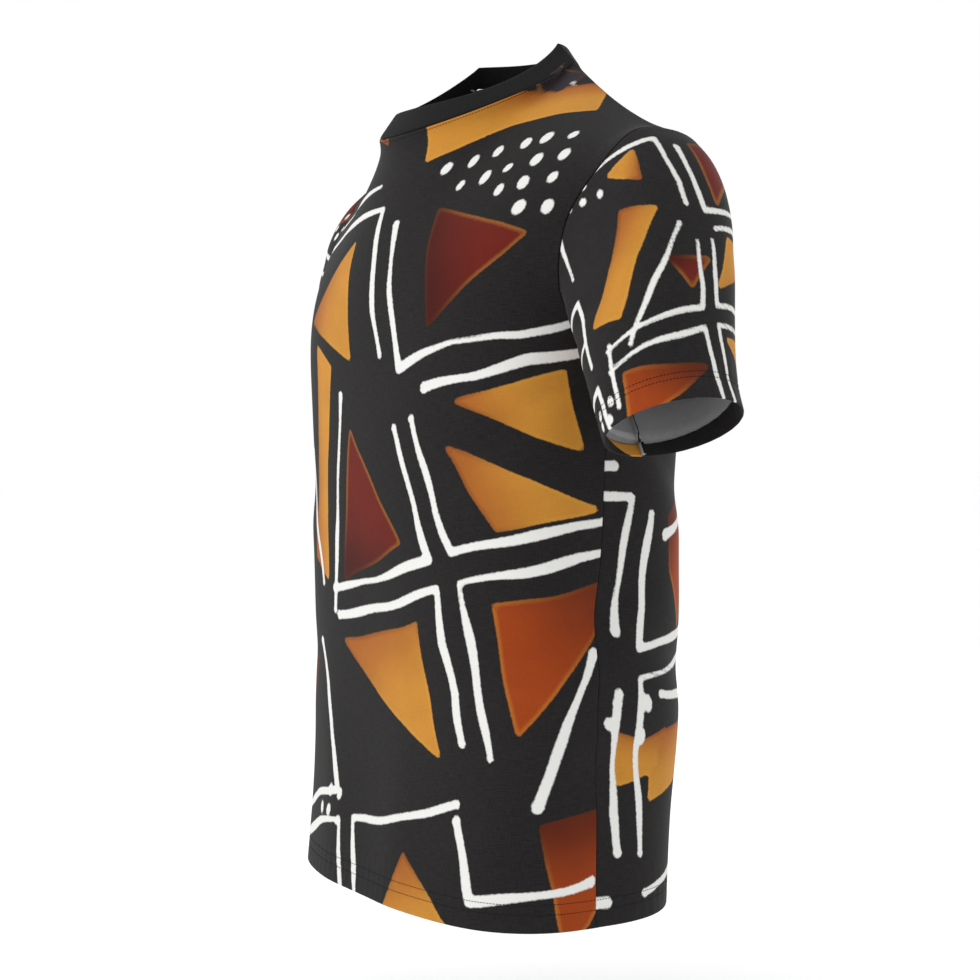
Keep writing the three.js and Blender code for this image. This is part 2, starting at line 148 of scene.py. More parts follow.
# turn round the body from the middle front, z, tilt from upright, width, length and depth of a soft fold
FOLDS = [
    (84, -470, 62, 20, 75, -4.5),
    (80, -520, 68, 17, 65, 3.5),
    (92, -585, 80, 22, 60, -4.0),
    (70, -300, 48, 18, 70, -4.0),
    (62, -640, 12, 26, 90, 3.0),
    (118, -500, -60, 24, 80, -4.0),
    (112, -330, -50, 20, 75, -4.0),
    (140, -610, -10, 30, 110, 3.5),
    (25, -655, 6, 28, 80, 2.5),
    (-30, -640, -9, 30, 90, 3.0),
    (-72, -310, -46, 19, 72, -4.0),
    (-82, -480, -64, 21, 78, -4.5),
    (-88, -540, -72, 18, 62, 3.5),
    (-115, -350, 52, 20, 78, -4.0),
    (-124, -520, 58, 24, 84, -3.5),
    (-146, -640, 9, 30, 100, 3.0),
]
FOLD_FADE = 60.0


def smooth(t):
    """An even step from 0 to 1."""
    t = np.clip(t, 0, 1)
    return t * t * (3 - 2 * t)


def mix(a, b, t):
    """The value that lies a share t of the way from a to b."""
    return a + (b - a) * t


def eased(t, start, end, leave, arrive):
    """A smooth curve from start to end that sets off along leave and comes in along arrive."""
    ends = (2 * t**3 - 3 * t**2 + 1) * start + (3 * t**2 - 2 * t**3) * end
    return ends + (t**3 - 2 * t**2 + t) * leave + (t**3 - t**2) * arrive


def ridge(away, up, tilt, width, length):
    """The height, from 0 to 1, of a soft fold at distances aside and up from its middle."""
    tilt = math.radians(tilt)
    over = away * math.cos(tilt) - up * math.sin(tilt)
    along = away * math.sin(tilt) + up * math.cos(tilt)
    return np.exp(-((over / width) ** 2) - (along / length) ** 2)


def lengths_along(steps):
    """How far along a line each of its points lies, from the lengths of its steps."""
    return np.concatenate([[0], np.cumsum(steps)])


def through(column, z):
    """A smooth curve through one column of SECTIONS at the heights z."""
    heights = SECTIONS[:, 0]
    values = SECTIONS[:, column]
    spans = np.diff(heights)
    between = np.diff(values) / spans
    slopes = np.empty_like(values)
    slopes[0] = between[0]
    slopes[-1] = between[-1]
    slopes[1:-1] = (between[:-1] * spans[1:] + between[1:] * spans[:-1]) / (spans[:-1] + spans[1:])
    i = np.clip(np.searchsorted(heights, z, side="right") - 1, 0, len(spans) - 1)
    t = np.clip((z - heights[i]) / spans[i], 0, 1)
    return eased(t, values[i], values[i + 1], spans[i] * slopes[i], spans[i] * slopes[i + 1])


def body_point(side, angle, z):
    """A point of the body at an angle from the middle of a panel (0) to the side seam (a quarter turn)."""
    panel = PANELS[side]
    square = through(panel["round"], z)
    across = np.sin(angle)
    depth = through(panel["depth"], z) * np.maximum(0, 1 - across**square) ** (1 / square)
    y = through(MIDDLE, z) + panel["way"] * depth
    return np.stack([through(HALF, z) * across, y, z], -1)


def neckline(side, share):
    """The neckline, from the middle of a panel (0) to the high shoulder point (1)."""
    high_y = -NECK_REAR * math.cos(HIGH_POINT_TURN)
    angle = share * HIGH_POINT_TURN if side == "front" else math.pi - share * (math.pi - HIGH_POINT_TURN)
    y = -np.cos(angle) * np.where(np.cos(angle) > 0, NECK_FRONT, NECK_REAR)
    if side == "front":
        share_down = np.maximum(0, (high_y - y) / (high_y + NECK_FRONT))
        fall = NECK_FRONT_DROP * share_down**NECK_FRONT_CURVE
    else:
        fall = NECK_REAR_DROP * np.maximum(0, (y - high_y) / (NECK_REAR - high_y)) ** NECK_REAR_CURVE
    return np.stack([NECK_HALF_WIDTH * np.sin(angle), y, -fall], -1)


def top_edge(side, u):
    """The top edge of a panel: neckline, then shoulder seam."""
    t = np.clip((u - NECK_SHARE) / (1 - NECK_SHARE), 0, 1)[:, None]
    seam = mix(neckline(side, np.ones_like(u)), TIP, t)
    seam[:, 2] -= SHOULDER_SAG * np.sin(math.pi * t[:, 0])
    return np.where(u[:, None] <= NECK_SHARE, neckline(side, u / NECK_SHARE), seam)


def armhole(side, turn):
    """The armhole edge from the underarm (0) to the shoulder tip (half a turn), and its angle."""
    panel = PANELS[side]
    z = mix(UNDERARM, TIP[2], (1 - np.cos(turn)) / 2)
    t = (z - UNDERARM) / (TIP[2] - UNDERARM)
    bow = panel["way"] * panel["bow"] * np.maximum(0, np.sin(turn)) ** ARMHOLE_ROUND
    y = mix(through(MIDDLE, np.full_like(z, UNDERARM)), TIP[1], smooth(t)) + bow
    square = through(panel["round"], z)
    depth = np.abs(y - through(MIDDLE, z)) / through(panel["depth"], z)
    across = (1 - np.minimum(1, depth) ** square) ** (1 / square)
    out = smooth((t - ARMHOLE_FLARE) / (1 - ARMHOLE_FLARE))
    place = np.stack([mix(through(HALF, z) * across, TIP[0], out), y, z], -1)
    return place, np.arcsin(np.where(turn == 0, across, np.minimum(SQUARE_ON, across)))


def panel_net(side):
    """The rows of a panel from hem to top edge, and from the wearer's right to the left."""
    u = np.arange(HALF_COLUMNS + 1) / HALF_COLUMNS
    rows = []
    for j in range(LOWER_ROWS):
        share = j / LOWER_ROWS
        z = mix(HEM, UNDERARM, share) - ROW_SAG * share * (1 - u * u)
        rows.append(body_point(side, u * math.pi / 2, z))
    top = top_edge(side, u)
    top_angle = np.arcsin(np.minimum(SQUARE_ON, top[:, 0] / through(HALF, top[:, 2])))
    top_miss = top - body_point(side, top_angle, top[:, 2])
    bottom_z = UNDERARM - ROW_SAG * (1 - u * u)
    power = mix(1, PANELS[side]["roll"], smooth((u - ROLL_FROM) / ROLL_OVER))
    to_edge = smooth((u - EDGE_FROM) / (1 - EDGE_FROM))
    for j in range(UPPER_ROWS):
        v = j / UPPER_ROWS
        edge, edge_angle = armhole(side, np.array([math.pi * v]))
        edge_miss = edge - body_point(side, edge_angle, edge[:, 2])
        late = v**TURN_EASE
        angle = u * edge_angle + late * (top_angle - u * top_angle[-1])
        level = mix(UNDERARM - ROW_SAG, top[0, 2], v)
        z = mix(level, edge[0, 2], u) + (1 - v) * (bottom_z - mix(bottom_z[0], UNDERARM, u))
        z = z + v**RISE_EASE * (top[:, 2] - mix(top[0, 2], top[-1, 2], u))
        to_top = (1 - (1 - v**SHOULDER_RISE) ** power)[:, None]
        row = body_point(side, angle, z) + top_miss * to_top + edge_miss * to_edge[:, None]
        row = row - top_miss[-1] * to_top * to_edge[:, None]
        row[:, 2] = z
        rows.append(row)
    rows.append(top)
    left = np.array(rows)
    net = np.concatenate([left[:, :0:-1] * (-1, 1, 1), left], 1)
    upper = net[LOWER_ROWS - EASE_ROWS_BELOW - 1 :]
    for _ in range(EASE_ROUNDS):
        near = (upper[:-2, 1:-1] + upper[2:, 1:-1] + upper[1:-1, :-2] + upper[1:-1, 2:]) / 4
        upper[1:-1, 1:-1] = mix(upper[1:-1, 1:-1], near, 0.5)
    return net


def armhole_ring(turn):
    """The ring of the armhole: 0 the shoulder tip, a quarter turn the front, half a turn the underarm."""
    turn = turn % (2 * math.pi)
    side = "front" if turn <= math.pi else "rear"
    return armhole(side, np.array([abs(math.pi - turn)]))[0][0]


def cuff_ring(turn, hang):
    """The ring of the sleeve end, at the same turns."""
    sideways = np.array([math.cos(CUFF["lift"]), 0, math.sin(CUFF["lift"])])
    ring = np.array([hang["x"], hang["y"] - math.sin(turn) * CUFF["front"], CUFF["z"]])
    return ring + sideways * math.cos(turn) * CUFF["side"]


def sleeve_net(sign):
    """The rows of a sleeve from cuff to armhole, opened at the underarm."""
    hang = SLEEVE_HANG[sign]
    arrive = np.array([math.sin(CUFF["lift"]), 0, -math.cos(CUFF["lift"])])
    columns = []
    for i in range(SLEEVE_COLUMNS + 1):
        turn = math.pi + 2 * math.pi * i / SLEEVE_COLUMNS
        over = math.cos(turn)
        leave = unit(
            np.array(
                [
                    SLEEVE_LEAVE["side"] + SLEEVE_LEAVE["side_over"] * over,
                    -SLEEVE_LEAVE["front"] * math.sin(turn) - hang["forward"] * (1 + math.sin(turn)) / 2,
                    SLEEVE_LEAVE["down_over"] * over - SLEEVE_LEAVE["down"],
                ]
            )
        )
        start = armhole_ring(turn)
        end = cuff_ring(turn, hang)
        length = np.linalg.norm(end - start)
        start = start + leave * SLEEVE_GAP + np.array([SLEEVE_GAP, 0, 0])
        t = np.linspace(1, 0, SLEEVE_ROWS + 1)[:, None]
        columns.append(eased(t, start, end, leave * length * SLEEVE_REACH, arrive * length * CUFF_REACH))
    net = np.array(columns).transpose(1, 0, 2)
    return net if sign > 0 else net[:, ::-1] * (-1, 1, 1)


def fold_height(points):
    """How far soft folds push the cloth out or in."""
    turn = np.arctan2(points[..., 0], -points[..., 1])
    reach = np.hypot(points[..., 0], points[..., 1])
    height = np.zeros_like(turn)
    for at, level, tilt, width, length, depth in FOLDS:
        away = turn - math.radians(at)
        away = np.arctan2(np.sin(away), np.cos(away)) * reach
        height += depth * ridge(away, points[..., 2] - level, tilt, width, length)
    return height


# Cloth drawn from a net

FLAT_ROUNDS = 500
# how tightly an edge turns, the angles of a turn by a quarter, and the spacing of the rows inside a hem
EDGE_RADIUS = 0.8
QUARTER = np.linspace(0, math.pi / 2, 4)
TURNED_SPACING = 3.0

# the points of a grid that a thread joins: across, up, and the two ways aslant
ALL, START, END = slice(None), slice(None, -1), slice(1, None)
THREADS = [
    ((ALL, START), (ALL, END)),
    ((START, ALL), (END, ALL)),
    ((START, START), (END, END)),
    ((START, END), (END, START)),
]


def cut_flat(net):
    """A net laid flat, its threads near their lengths and its middle column upright: the cut."""
    rows, columns = net.shape[:2]
    middle = columns // 2
    across = np.linalg.norm(np.diff(net, axis=1), axis=2)
    up = np.linalg.norm(np.diff(net, axis=0), axis=2)
    flat = np.zeros((rows, columns, 2))
    flat[:, 1:, 0] = np.cumsum(across, 1)
    flat[..., 0] -= flat[:, middle : middle + 1, 0]
    flat[1:, :, 1] = np.cumsum(up, 0)
    links = [(a, b, np.linalg.norm(net[b] - net[a], axis=2)) for a, b in THREADS]
    for _ in range(FLAT_ROUNDS):
        pull = np.zeros_like(flat)
        for a, b, length in links:
            way = flat[b] - flat[a]
            now = np.linalg.norm(way, axis=2)
            shift = way * ((now - length) / np.maximum(now, 1e-6))[..., None] / 2
            pull[a] += shift
            pull[b] -= shift
        flat = flat + pull / 4
        flat[..., 0] -= flat[:, middle, 0].mean()
    flat[..., 1] -= flat[0, middle, 1]
    return flat


def curve_weights(count, places):
    """Weights that draw a smooth curve through evenly numbered points, at the places given."""
    weights = np.zeros((len(places), count))
    i = np.clip(np.floor(places).astype(int), 0, count - 2)
    t = places - i
    parts = (
        (-1, (-(t**3) + 2 * t**2 - t) / 2),
        (0, (3 * t**3 - 5 * t**2 + 2) / 2),
        (1, (-3 * t**3 + 4 * t**2 + t) / 2),
        (2, (t**3 - t**2) / 2),
    )
    rows = np.arange(len(places))
    for step, part in parts:
        at = i + step
        low = at < 0
        high = at > count - 1
        np.add.at(weights, (rows, np.clip(at, 0, count - 1)), part * (1 + low + high))
        np.add.at(weights, (rows[low], np.ones(low.sum(), int)), -part[low])
        np.add.at(weights, (rows[high], np.full(high.sum(), count - 2)), -part[high])
    return weights


def even_places(steps, spacing):
    """Places along numbered points that lie about spacing apart."""
    along = lengths_along(steps)
    count = max(2, round(along[-1] / spacing))
    return np.interp(np.linspace(0, along[-1], count + 1), along, np.arange(len(along)))


def unit(vectors):
    """Vectors made one long."""
    return vectors / np.maximum(np.linalg.norm(vectors, axis=-1, keepdims=True), 1e-9)


def normals_of(points, outward):
    """The outward normal at each point of a grid."""
    return unit(np.cross(np.gradient(points, axis=1), np.gradient(points, axis=0))) * outward


def with_edges(count, first, last):
    """The numbers of count rows with their edges repeated, and the steps away from those edges."""
    first, last = np.array(first), np.array(last)
    still = np.zeros((count - 2,) + first.shape[1:])
    numbers = [np.zeros(len(first) - 1, int), np.arange(count), np.full(len(last) - 1, count - 1)]
    return np.concatenate(numbers), np.concatenate([first[::-1], still, last])


def framed(grid, below, above, left, right):
    """A grid with extra rows and columns, given as steps away from its edge rows and columns."""
    at_row, extra_rows = with_edges(grid.shape[0], below, above)
    at_column, extra_columns = with_edges(grid.shape[1], left, right)
    made = grid[at_row][:, at_column] + extra_rows[:, at_column]
    return made + extra_columns[:, at_row].transpose(1, 0, 2)


def turned_in(out, inward, depth):
    """Steps from an edge that turns inwards by a quarter and then goes in by a depth."""
    turned = [(out * (math.sin(a) - 1) + inward * (1 - math.cos(a))) * EDGE_RADIUS for a in QUARTER]
    return turned + [inward * (EDGE_RADIUS + depth / 2), inward * (EDGE_RADIUS + depth)]


class Cloth:
    """A fine grid of cloth: places, normals and places on the flat cut, row by row."""

    def __init__(self, net, spacing, outward):
        rows = even_places(np.linalg.norm(np.diff(net, axis=0), axis=2).mean(1), spacing)
        columns = even_places(np.linalg.norm(np.diff(net, axis=1), axis=2).mean(0), spacing)
        self.rows = rows
        self.columns = columns
        row_weights = curve_weights(net.shape[0], rows)
        column_weights = curve_weights(net.shape[1], columns)
        self.points = np.einsum("ja,abk,ib->jik", row_weights, net, column_weights)
        self.flat = np.einsum("ja,abk,ib->jik", row_weights, cut_flat(net), column_weights)
        self.outward = outward
        self.normals = normals_of(self.points, outward)

    def push(self, height):
        """Moves the cloth along its normals, with one height for each point."""
        self.points = self.points + self.normals * height[..., None]
        self.normals = normals_of(self.points, self.outward)

    def turn_edges(self, bottom, top, sides):
        """Turns the cloth in at its edges: the bottom turned up flat, the top and the sides standing in."""
        points, normals, flat = self.points, self.normals, self.flat
        radius = EDGE_RADIUS
        arc = np.linspace(0, math.pi, 7)
        down = unit(points[0] - points[1])
        below = [(down * (math.sin(a) - 1) - normals[0] * (1 - math.cos(a))) * radius for a in arc]
        below_flat = [np.array([0, -radius * a]) + 0 * flat[0] for a in arc]
        step = 1
        while step * TURNED_SPACING < bottom:
            below.append(points[step] - points[0] - normals[step] * radius * 2)
            below_flat.append(flat[0] - flat[step] - np.array([0, radius * math.pi]))
            step += 1
        above = turned_in(unit(points[-1] - points[-2]), -normals[-1], top)
        reach = [radius * a for a in QUARTER] + [radius * 2 + top / 2, radius * 2 + top]
        above_flat = [np.array([0, d]) + 0 * flat[-1] for d in reach]
        left = turned_in(unit(points[:, 0] - points[:, 1]), -normals[:, 0], sides)
        right = turned_in(unit(points[:, -1] - points[:, -2]), -normals[:, -1], sides)
        left_flat = [np.array([-d, 0]) + 0 * flat[:, 0] for d in reach]
        right_flat = [np.array([d, 0]) + 0 * flat[:, -1] for d in reach]
        self.points = framed(points, below, above, left, right)
        self.flat = framed(flat, below_flat, above_flat, left_flat, right_flat)


def new_object(name, form):
    """An object from a form, smooth all over, which is let go afterwards."""
    mesh = bpy.data.meshes.new(name)
    for face in form.faces:
        face.smooth = True
    form.to_mesh(mesh)
    form.free()
    piece = bpy.data.objects.new(name, mesh)
    bpy.context.scene.collection.objects.link(piece)
    return piece


def cloth_object(name, cloth, values):
    """A mesh piece on a grid of cloth, with its flat places as a UV map and other values as attributes."""
    rows, columns = cloth.points.shape[:2]
    sheet = bmesh.new()
    bmesh.ops.create_grid(sheet, x_segments=columns - 1, y_segments=rows - 1, size=0.5)
    sheet.verts.ensure_lookup_table()
    lattice = np.array([vert.co[:2] for vert in sheet.verts]) + 0.5
    j = np.rint(lattice[:, 1] * (rows - 1)).astype(int)
    i = np.rint(lattice[:, 0] * (columns - 1)).astype(int)
    for vert, place in zip(sheet.verts, cloth.points[j, i] * MM):
        vert.co = place
    flat = cloth.flat[j, i] * MM
    uv = sheet.loops.layers.uv.new("cut")
    for face in sheet.faces:
        for loop in face.loops:
            loop[uv].uv = flat[loop.vert.index]
    if cloth.outward < 0:
        bmesh.ops.reverse_faces(sheet, faces=sheet.faces)
    piece = new_object(name, sheet)
    for key, value in values.items():
        kind = "FLOAT_COLOR" if value.ndim == 3 else "FLOAT"
        attribute = piece.data.attributes.new(key, kind, "POINT")
        field = "color" if value.ndim == 3 else "value"
        attribute.data.foreach_set(field, np.ascontiguousarray(value[j, i], dtype=np.float32).ravel())
    return piece


# Print, laid out on the cut of each piece: x from its middle, y up from its edge

# nets of double white lines: one crossing, the steps across and down to the next ones, half the width
# between two lines, the width of a line, and how far the crossings stray
NETS = {
    kind: dict(zip(("start", "across", "down", "lane", "pen", "sway"), values))
    for kind, values in {
        "front": ((65, 440), (200, 45), (45, -165), 12.5, 6.4, 8),
        "back": ((235, 365), (-205, 30), (5, -168), 12.5, 6.4, 10),
        "sleeve": ((-8, 150), (112, -28), (-10, -88), 8, 3.9, 5),
    }.items()
}

# the hand that draws: share of its way that a line's end goes, how much that strays, where a stretch bends
# and how far, and how much wider or thinner a line gets as the hand presses
LINE_REACH = 0.9
REACH_STRAY = 0.07
BENDS = (0.36, 0.70)
LINE_BOW = 0.022
PRESS = 0.14
# half the width of the round end of a line, as a share of the line's width
BLOB = 0.6
PATCH_INSET = 0.96
PATCH_ROUND = 2.5
# the share of a shape where its dark side begins
SHADE_FROM = 0.35

# how the whole hand trembles: height of each wave, its spots a millimetre along x and y, and its start
TREMBLE = 0.9
TREMBLE_ACROSS = [(2, 0, 1 / 29, 1.3), (0.8, 1 / 16, -1 / 13, 0), (0.12, 1 / 7, 1 / 5.1, 0)]
TREMBLE_UP = [(2, 1 / 31, 0, 0.4), (0.8, 1 / 14, 1 / 17, 2), (0.12, 1 / 5.3, -1 / 8, 0)]

# Painted shapes inside one mesh of the net, as shares across and down it
SHAPES = {
    "wedge": [[(0.2, 0.2), (0.8, 0.2), (0.8, 0.85)]],
    "spear": [[(0.6, 0.15), (0.8, 0.8), (0.3, 0.9), (0.45, 0.5)]],
    "leaf": [[(0.2, 0.25), (0.7, 0.1), (0.5, 0.45), (0.4, 0.9), (0.25, 0.55)]],
    "bow": [[(0.3, 0.2), (0.75, 0.15), (0.75, 0.55)], [(0.2, 0.4), (0.75, 0.85), (0.3, 0.85)]],
    "bar": [[(0.35, 0.1), (0.65, 0.15), (0.6, 0.5), (0.65, 0.9), (0.35, 0.85), (0.4, 0.45)]],
    "tooth": [[(0.75, 0.2), (0.25, 0.5), (0.7, 0.8)]],
    "kite": [[(0.2, 0.5), (0.5, 0.2), (0.8, 0.45), (0.45, 0.85)]],
}

# column and row of the net, a white line by the corners it joins (a the crossing itself, b across, d down,
# c opposite), and, where one is painted: shape, quarter turns, ink and the turn of its dark side in degrees
CELLS = {
    "front": [
        (-2, -2, "", "tooth", 0, "ochre", 90),
        (-1, -2, "dc", "leaf", 1, "maroon", 200),
        (-2, -1, "abc", "kite", 0, "rust", 120),
        (-1, -1, "abc", "tooth", 0, "ochre", 160),
        (0, -1, "adc", "tooth", 2, "maroon", 200),
        (-2, 0, "ab", "bar", 0, "ochre", 180),
        (-1, 0, "bcd", "spear", 0, "maroon", 250),
        (-1, 0, "ad"),
        (0, 0, "adc", "bow", 0, "ochre", 200),
        (0, 0, "ab"),
        (-2, 1, "dcb", "wedge", 3, "maroon", 100),
        (-1, 1, "abc", "wedge", 0, "ochre", 120),
        (0, 1, "bad", "wedge", 3, "rust", 60),
        (-2, 2, "abc", "tooth", 1, "ochre", 30),
        (-1, 2, "bad", "tooth", 1, "ochre", 110),
        (0, 2, "", "wedge", 3, "rust", 100),
    ],
    "back": [
        (-1, -1, "dc", "tooth", 2, "ochre", 40),
        (0, -2, "dc"),
        (1, -2, "abc", "wedge", 0, "ochre", 210),
        (2, -2, "dc"),
        (0, -1, "dab", "bow", 1, "ochre", 120),
        (1, -1, "dcb", "spear", 2, "rust", 60),
        (2, -1, "ad", "leaf", 1, "maroon", 150),
        (-1, 0, "abc", "tooth", 0, "ochre", 200),
        (0, 0, "adc", "leaf", 0, "rust", 30),
        (1, 0, "bcd", "wedge", 2, "maroon", 250),
        (1, 0, "ad"),
        (2, 0, "adc", "bow", 0, "ochre", 160),
        (-1, 1, "bc"),
        (0, 1, "bad", "bar", 1, "ochre", 80),
        (1, 1, "abc", "wedge", 0, "rust", 140),
        (2, 1, "bad", "kite", 1, "ochre", 220),
        (-1, 2, "ab"),
        (0, 2, "ab"),
    ],
    "sleeve": [
        (-2, -1, "abc", "kite", 0, "ochre", 90),
        (-1, -1, "bcd", "wedge", 0, "maroon", 100),
        (0, -1, "bad"),
        (1, -1, "dab", "leaf", 1, "maroon", 40),
        (-2, 0, "adc", "spear", 1, "rust", 60),
        (-1, 0, "bcd", "leaf", 1, "ochre", 230),
        (-1, 0, "ab"),
        (0, 0, "adc"),
        (1, 0, "dab", "bar", 0, "ochre", 150),
        (-2, 1, "bad", "tooth", 0, "maroon", 90),
        (-1, 1, "abc", "wedge", 3, "ochre", 120),
        (0, 1, "bad", "spear", 3, "rust", 120),
        (1, 1, "bad", "wedge", 1, "ochre", 240),
    ],
}

# lines that stand outside the net
LOOSE_LINES = {
    "front": [[(250, 220), (200, 100)], [(130, 80), (150, 20), (250, 40)], [(-30, 425), (-60, 235)]],
    "back": [[(160, 320), (200, 310)], [(150, 170), (210, 180)], [(-120, 560), (-90, 610)]],
    "sleeve": [[(10, 140), (60, 45)], [(80, 50), (80, 0)], [(110, 70), (135, 60)]],
}
# shapes outside the net: shape, x and y of the middle, width and height of its mesh, turn, ink and dark side
LOOSE_SHAPES = {
    "front": [
        ("bar", -80, 365, 120, 260, -8, "ochre", 180),
        ("bar", 125, 685, 160, 230, -70, "ochre", 110),
        ("kite", 150, 730, 90, 70, 30, "plum", 0),
        ("tooth", 150, 730, 40, 50, 60, "white", 0),
    ],
    "back": [("bar", 230, 130, 130, 80, 90, "ochre", 100)],
    "sleeve": [
        ("bar", 60, 115, 90, 130, 25, "ochre", 40),
        ("tooth", 5, 100, 50, 60, 90, "maroon", 60),
        ("tooth", 45, 200, 50, 50, 180, "ochre", 200),
    ],
}

# x and y of the last dot of the first row, step to the dot before it, step to the next row, dots in each
# row, and size
DOTS = {
    "front": [
        (205, 650, -25, -5, 0, -24, (6, 5, 3, 2), 9.0),
        (-50, 55, -22, 0, 0, 20, (3, 2), 7.5),
        (-150, 670, -25, 5, 0, -24, (3, 4), 8.5),
    ],
    "back": [
        (260, 180, -30, -5, 5, -25, (2, 2), 9.0),
        (130, 665, -28, 0, 0, -26, (5, 6, 4), 9.0),
        (-60, 60, -25, 5, 0, -25, (3, 3), 8.5),
    ],
    "sleeve": [
        (100, 195, -16, -5, 0, 15, (3, 2), 5.4),
        (105, -5, -15, 0, 0, 12, (2, 2), 5.4),
        (-60, 215, -16, -5, 0, -15, (2, 3), 5.4),
    ],
}
DOT_LONG = 1.35
DOT_LEAN = math.radians(20)
# how much the lean, the place and the size of a dot stray
LEAN_STRAY = 0.35
DOT_STRAY = 3.0
DOT_UNEVEN = 0.2


WAVER_WEIGHTS = (12.9898, 78.233, 37.719, 4.581)
WAVER_SCALE = 43758.5453


def waver(*keys):
    """An uneven value from -1 to 1 that is always the same for the same keys."""
    mixed = sum(key * weight for key, weight in zip(keys, WAVER_WEIGHTS))
    return 2 * ((math.sin(mixed) * WAVER_SCALE) % 1) - 1


def crossing(net, column, row):
    """Where two double lines of a net cross."""
    place = np.array(net["start"], float) + column * np.array(net["across"]) + row * np.array(net["down"])
    return place + net["sway"] * np.array([waver(column, row, 1), waver(column, row, 2)])


def cell_corners(net, column, row):
    """The corners a, b, c and d of one mesh of a net."""
    steps = ((0, 0), (1, 0), (1, 1), (0, 1))
    return np.array([crossing(net, column + across, row + down) for across, down in steps])


def lane_corners(net, column, row):
    """The corners of the white outline inside one mesh, half a lane in from the net."""
    corners = cell_corners(net, column, row)
    after = unit(np.roll(corners, -1, 0) - corners)
    before = unit(np.roll(corners, 1, 0) - corners)
    return corners + (after + before) * net["lane"]


def drawn_line(net, column, row, route):
    """A white line of a mesh as a hand draws it, by the letters of the corners that it joins."""
    corners = dict(zip("abcd", lane_corners(net, column, row)))
    line = [corners[letter] for letter in route]
    keys = (column, row, len(route))
    line[0] = mix(line[1], line[0], LINE_REACH + REACH_STRAY * waver(*keys, 3))
    line[-1] = mix(line[-2], line[-1], LINE_REACH + REACH_STRAY * waver(*keys, 4))
    made = [line[0]]
    for k, (start, end) in enumerate(zip(line[:-1], line[1:])):
        aside = np.array([start[1] - end[1], end[0] - start[0]]) * LINE_BOW
        made.append(mix(start, end, BENDS[0]) + aside * waver(*keys, 5 + k))
        made.append(mix(start, end, BENDS[1]) + aside * waver(*keys, 8 + k))
        made.append(end)
    return np.array(made)


def painted_shape(net, column, row, shape, quarters):
    """The corners of a painted shape of a mesh, turned by quarters."""
    a, b, c, d = cell_corners(net, column, row)
    outlines = []
    for outline in SHAPES[shape]:
        made = []
        for across, down in outline:
            for _ in range(quarters):
                across, down = 1 - down, across
            made.append(mix(mix(a, b, across), mix(d, c, across), down))
        outlines.append(np.array(made))
    return outlines


def placed_shape(shape, x, y, wide, tall, turn):
    """The corners of a painted shape outside the net."""
    turn = math.radians(turn)
    across = np.array([math.cos(turn), math.sin(turn)]) * wide
    up = np.array([-math.sin(turn), math.cos(turn)]) * tall
    shares = [np.array(outline) - 0.5 for outline in SHAPES[shape]]
    return [(x, y) + share[:, :1] * across - share[:, 1:] * up for share in shares]


def distance_to(places, start, end):
    """How far places lie from a straight stretch."""
    way = end - start
    share = np.clip(((places - start) @ way) / (way @ way), 0, 1)[..., None]
    return np.linalg.norm(places - start - share * way, axis=-1)


def line_depth(places, line, width):
    """Distance from the edge of a line with blunt, slightly swollen ends, below zero inside it."""
    stretches = [distance_to(places, start, end) for start, end in zip(line[:-1], line[1:])]
    ends = [np.linalg.norm(places - end, axis=-1) - width * (BLOB - 0.5) for end in (line[0], line[-1])]
    return np.minimum.reduce(stretches + ends) - width / 2


def shape_depth(places, corners):
    """Distance from the edge of a painted shape with softened corners, below zero inside it."""
    corners = mix(corners.mean(0), corners, PATCH_INSET)
    inside = np.zeros(places.shape[:-1], bool)
    near = np.full(places.shape[:-1], 1e6)
    for start, end in zip(corners, np.roll(corners, -1, 0)):
        near = np.minimum(near, distance_to(places, start, end))
        between = (start[1] > places[..., 1]) != (end[1] > places[..., 1])
        slope = (end[0] - start[0]) / (end[1] - start[1] + 1e-9)
        inside ^= between & (places[..., 0] < start[0] + slope * (places[..., 1] - start[1]))
    return np.where(inside, -near, near) - PATCH_ROUND


def dot_depth(places, centre, size):
    """Distance from the edge of a leaning oval dot, below zero inside it."""
    away = places - centre
    lean = DOT_LEAN + LEAN_STRAY * waver(centre[0], centre[1])
    along = away[..., 0] * math.sin(lean) + away[..., 1] * math.cos(lean)
    over = away[..., 0] * math.cos(lean) - away[..., 1] * math.sin(lean)
    return np.hypot(along / DOT_LONG, over) - size / 2


def unsteady(places, scale):
    """Places moved a little, so that what is drawn on them trembles like a painted line."""
    x, y = places[..., 0] / scale, places[..., 1] / scale
    moved = [
        sum(height * np.sin(x * along_x + y * along_y + start) for height, along_x, along_y, start in waves)
        for waves in (TREMBLE_ACROSS, TREMBLE_UP)
    ]
    return places + TREMBLE * scale * np.stack(moved, -1)


def pressed(flat):
    """How hard the hand presses at each place of a cut."""
    x, y = flat[..., 0], flat[..., 1]
    return np.sin(x / 21 + 1.1) * np.sin(y / 26) + np.sin(y / 11 - 0.5) / 2


def painted_colour(places, corners, light_ink, dark_ink, dark):
    """The colour of a painted shape at each place, and in its alpha how dark it is there."""
    way = np.array([math.cos(math.radians(dark)), math.sin(math.radians(dark))])
    reach = (corners - corners.mean(0)) @ way
    along = ((places - corners.mean(0)) @ way - reach.min()) / (reach.max() - reach.min())
    shade = smooth((along - SHADE_FROM) / (1 - SHADE_FROM))[..., None]
    return np.concatenate([mix(np.array(light_ink), np.array(dark_ink), shade), shade], -1)


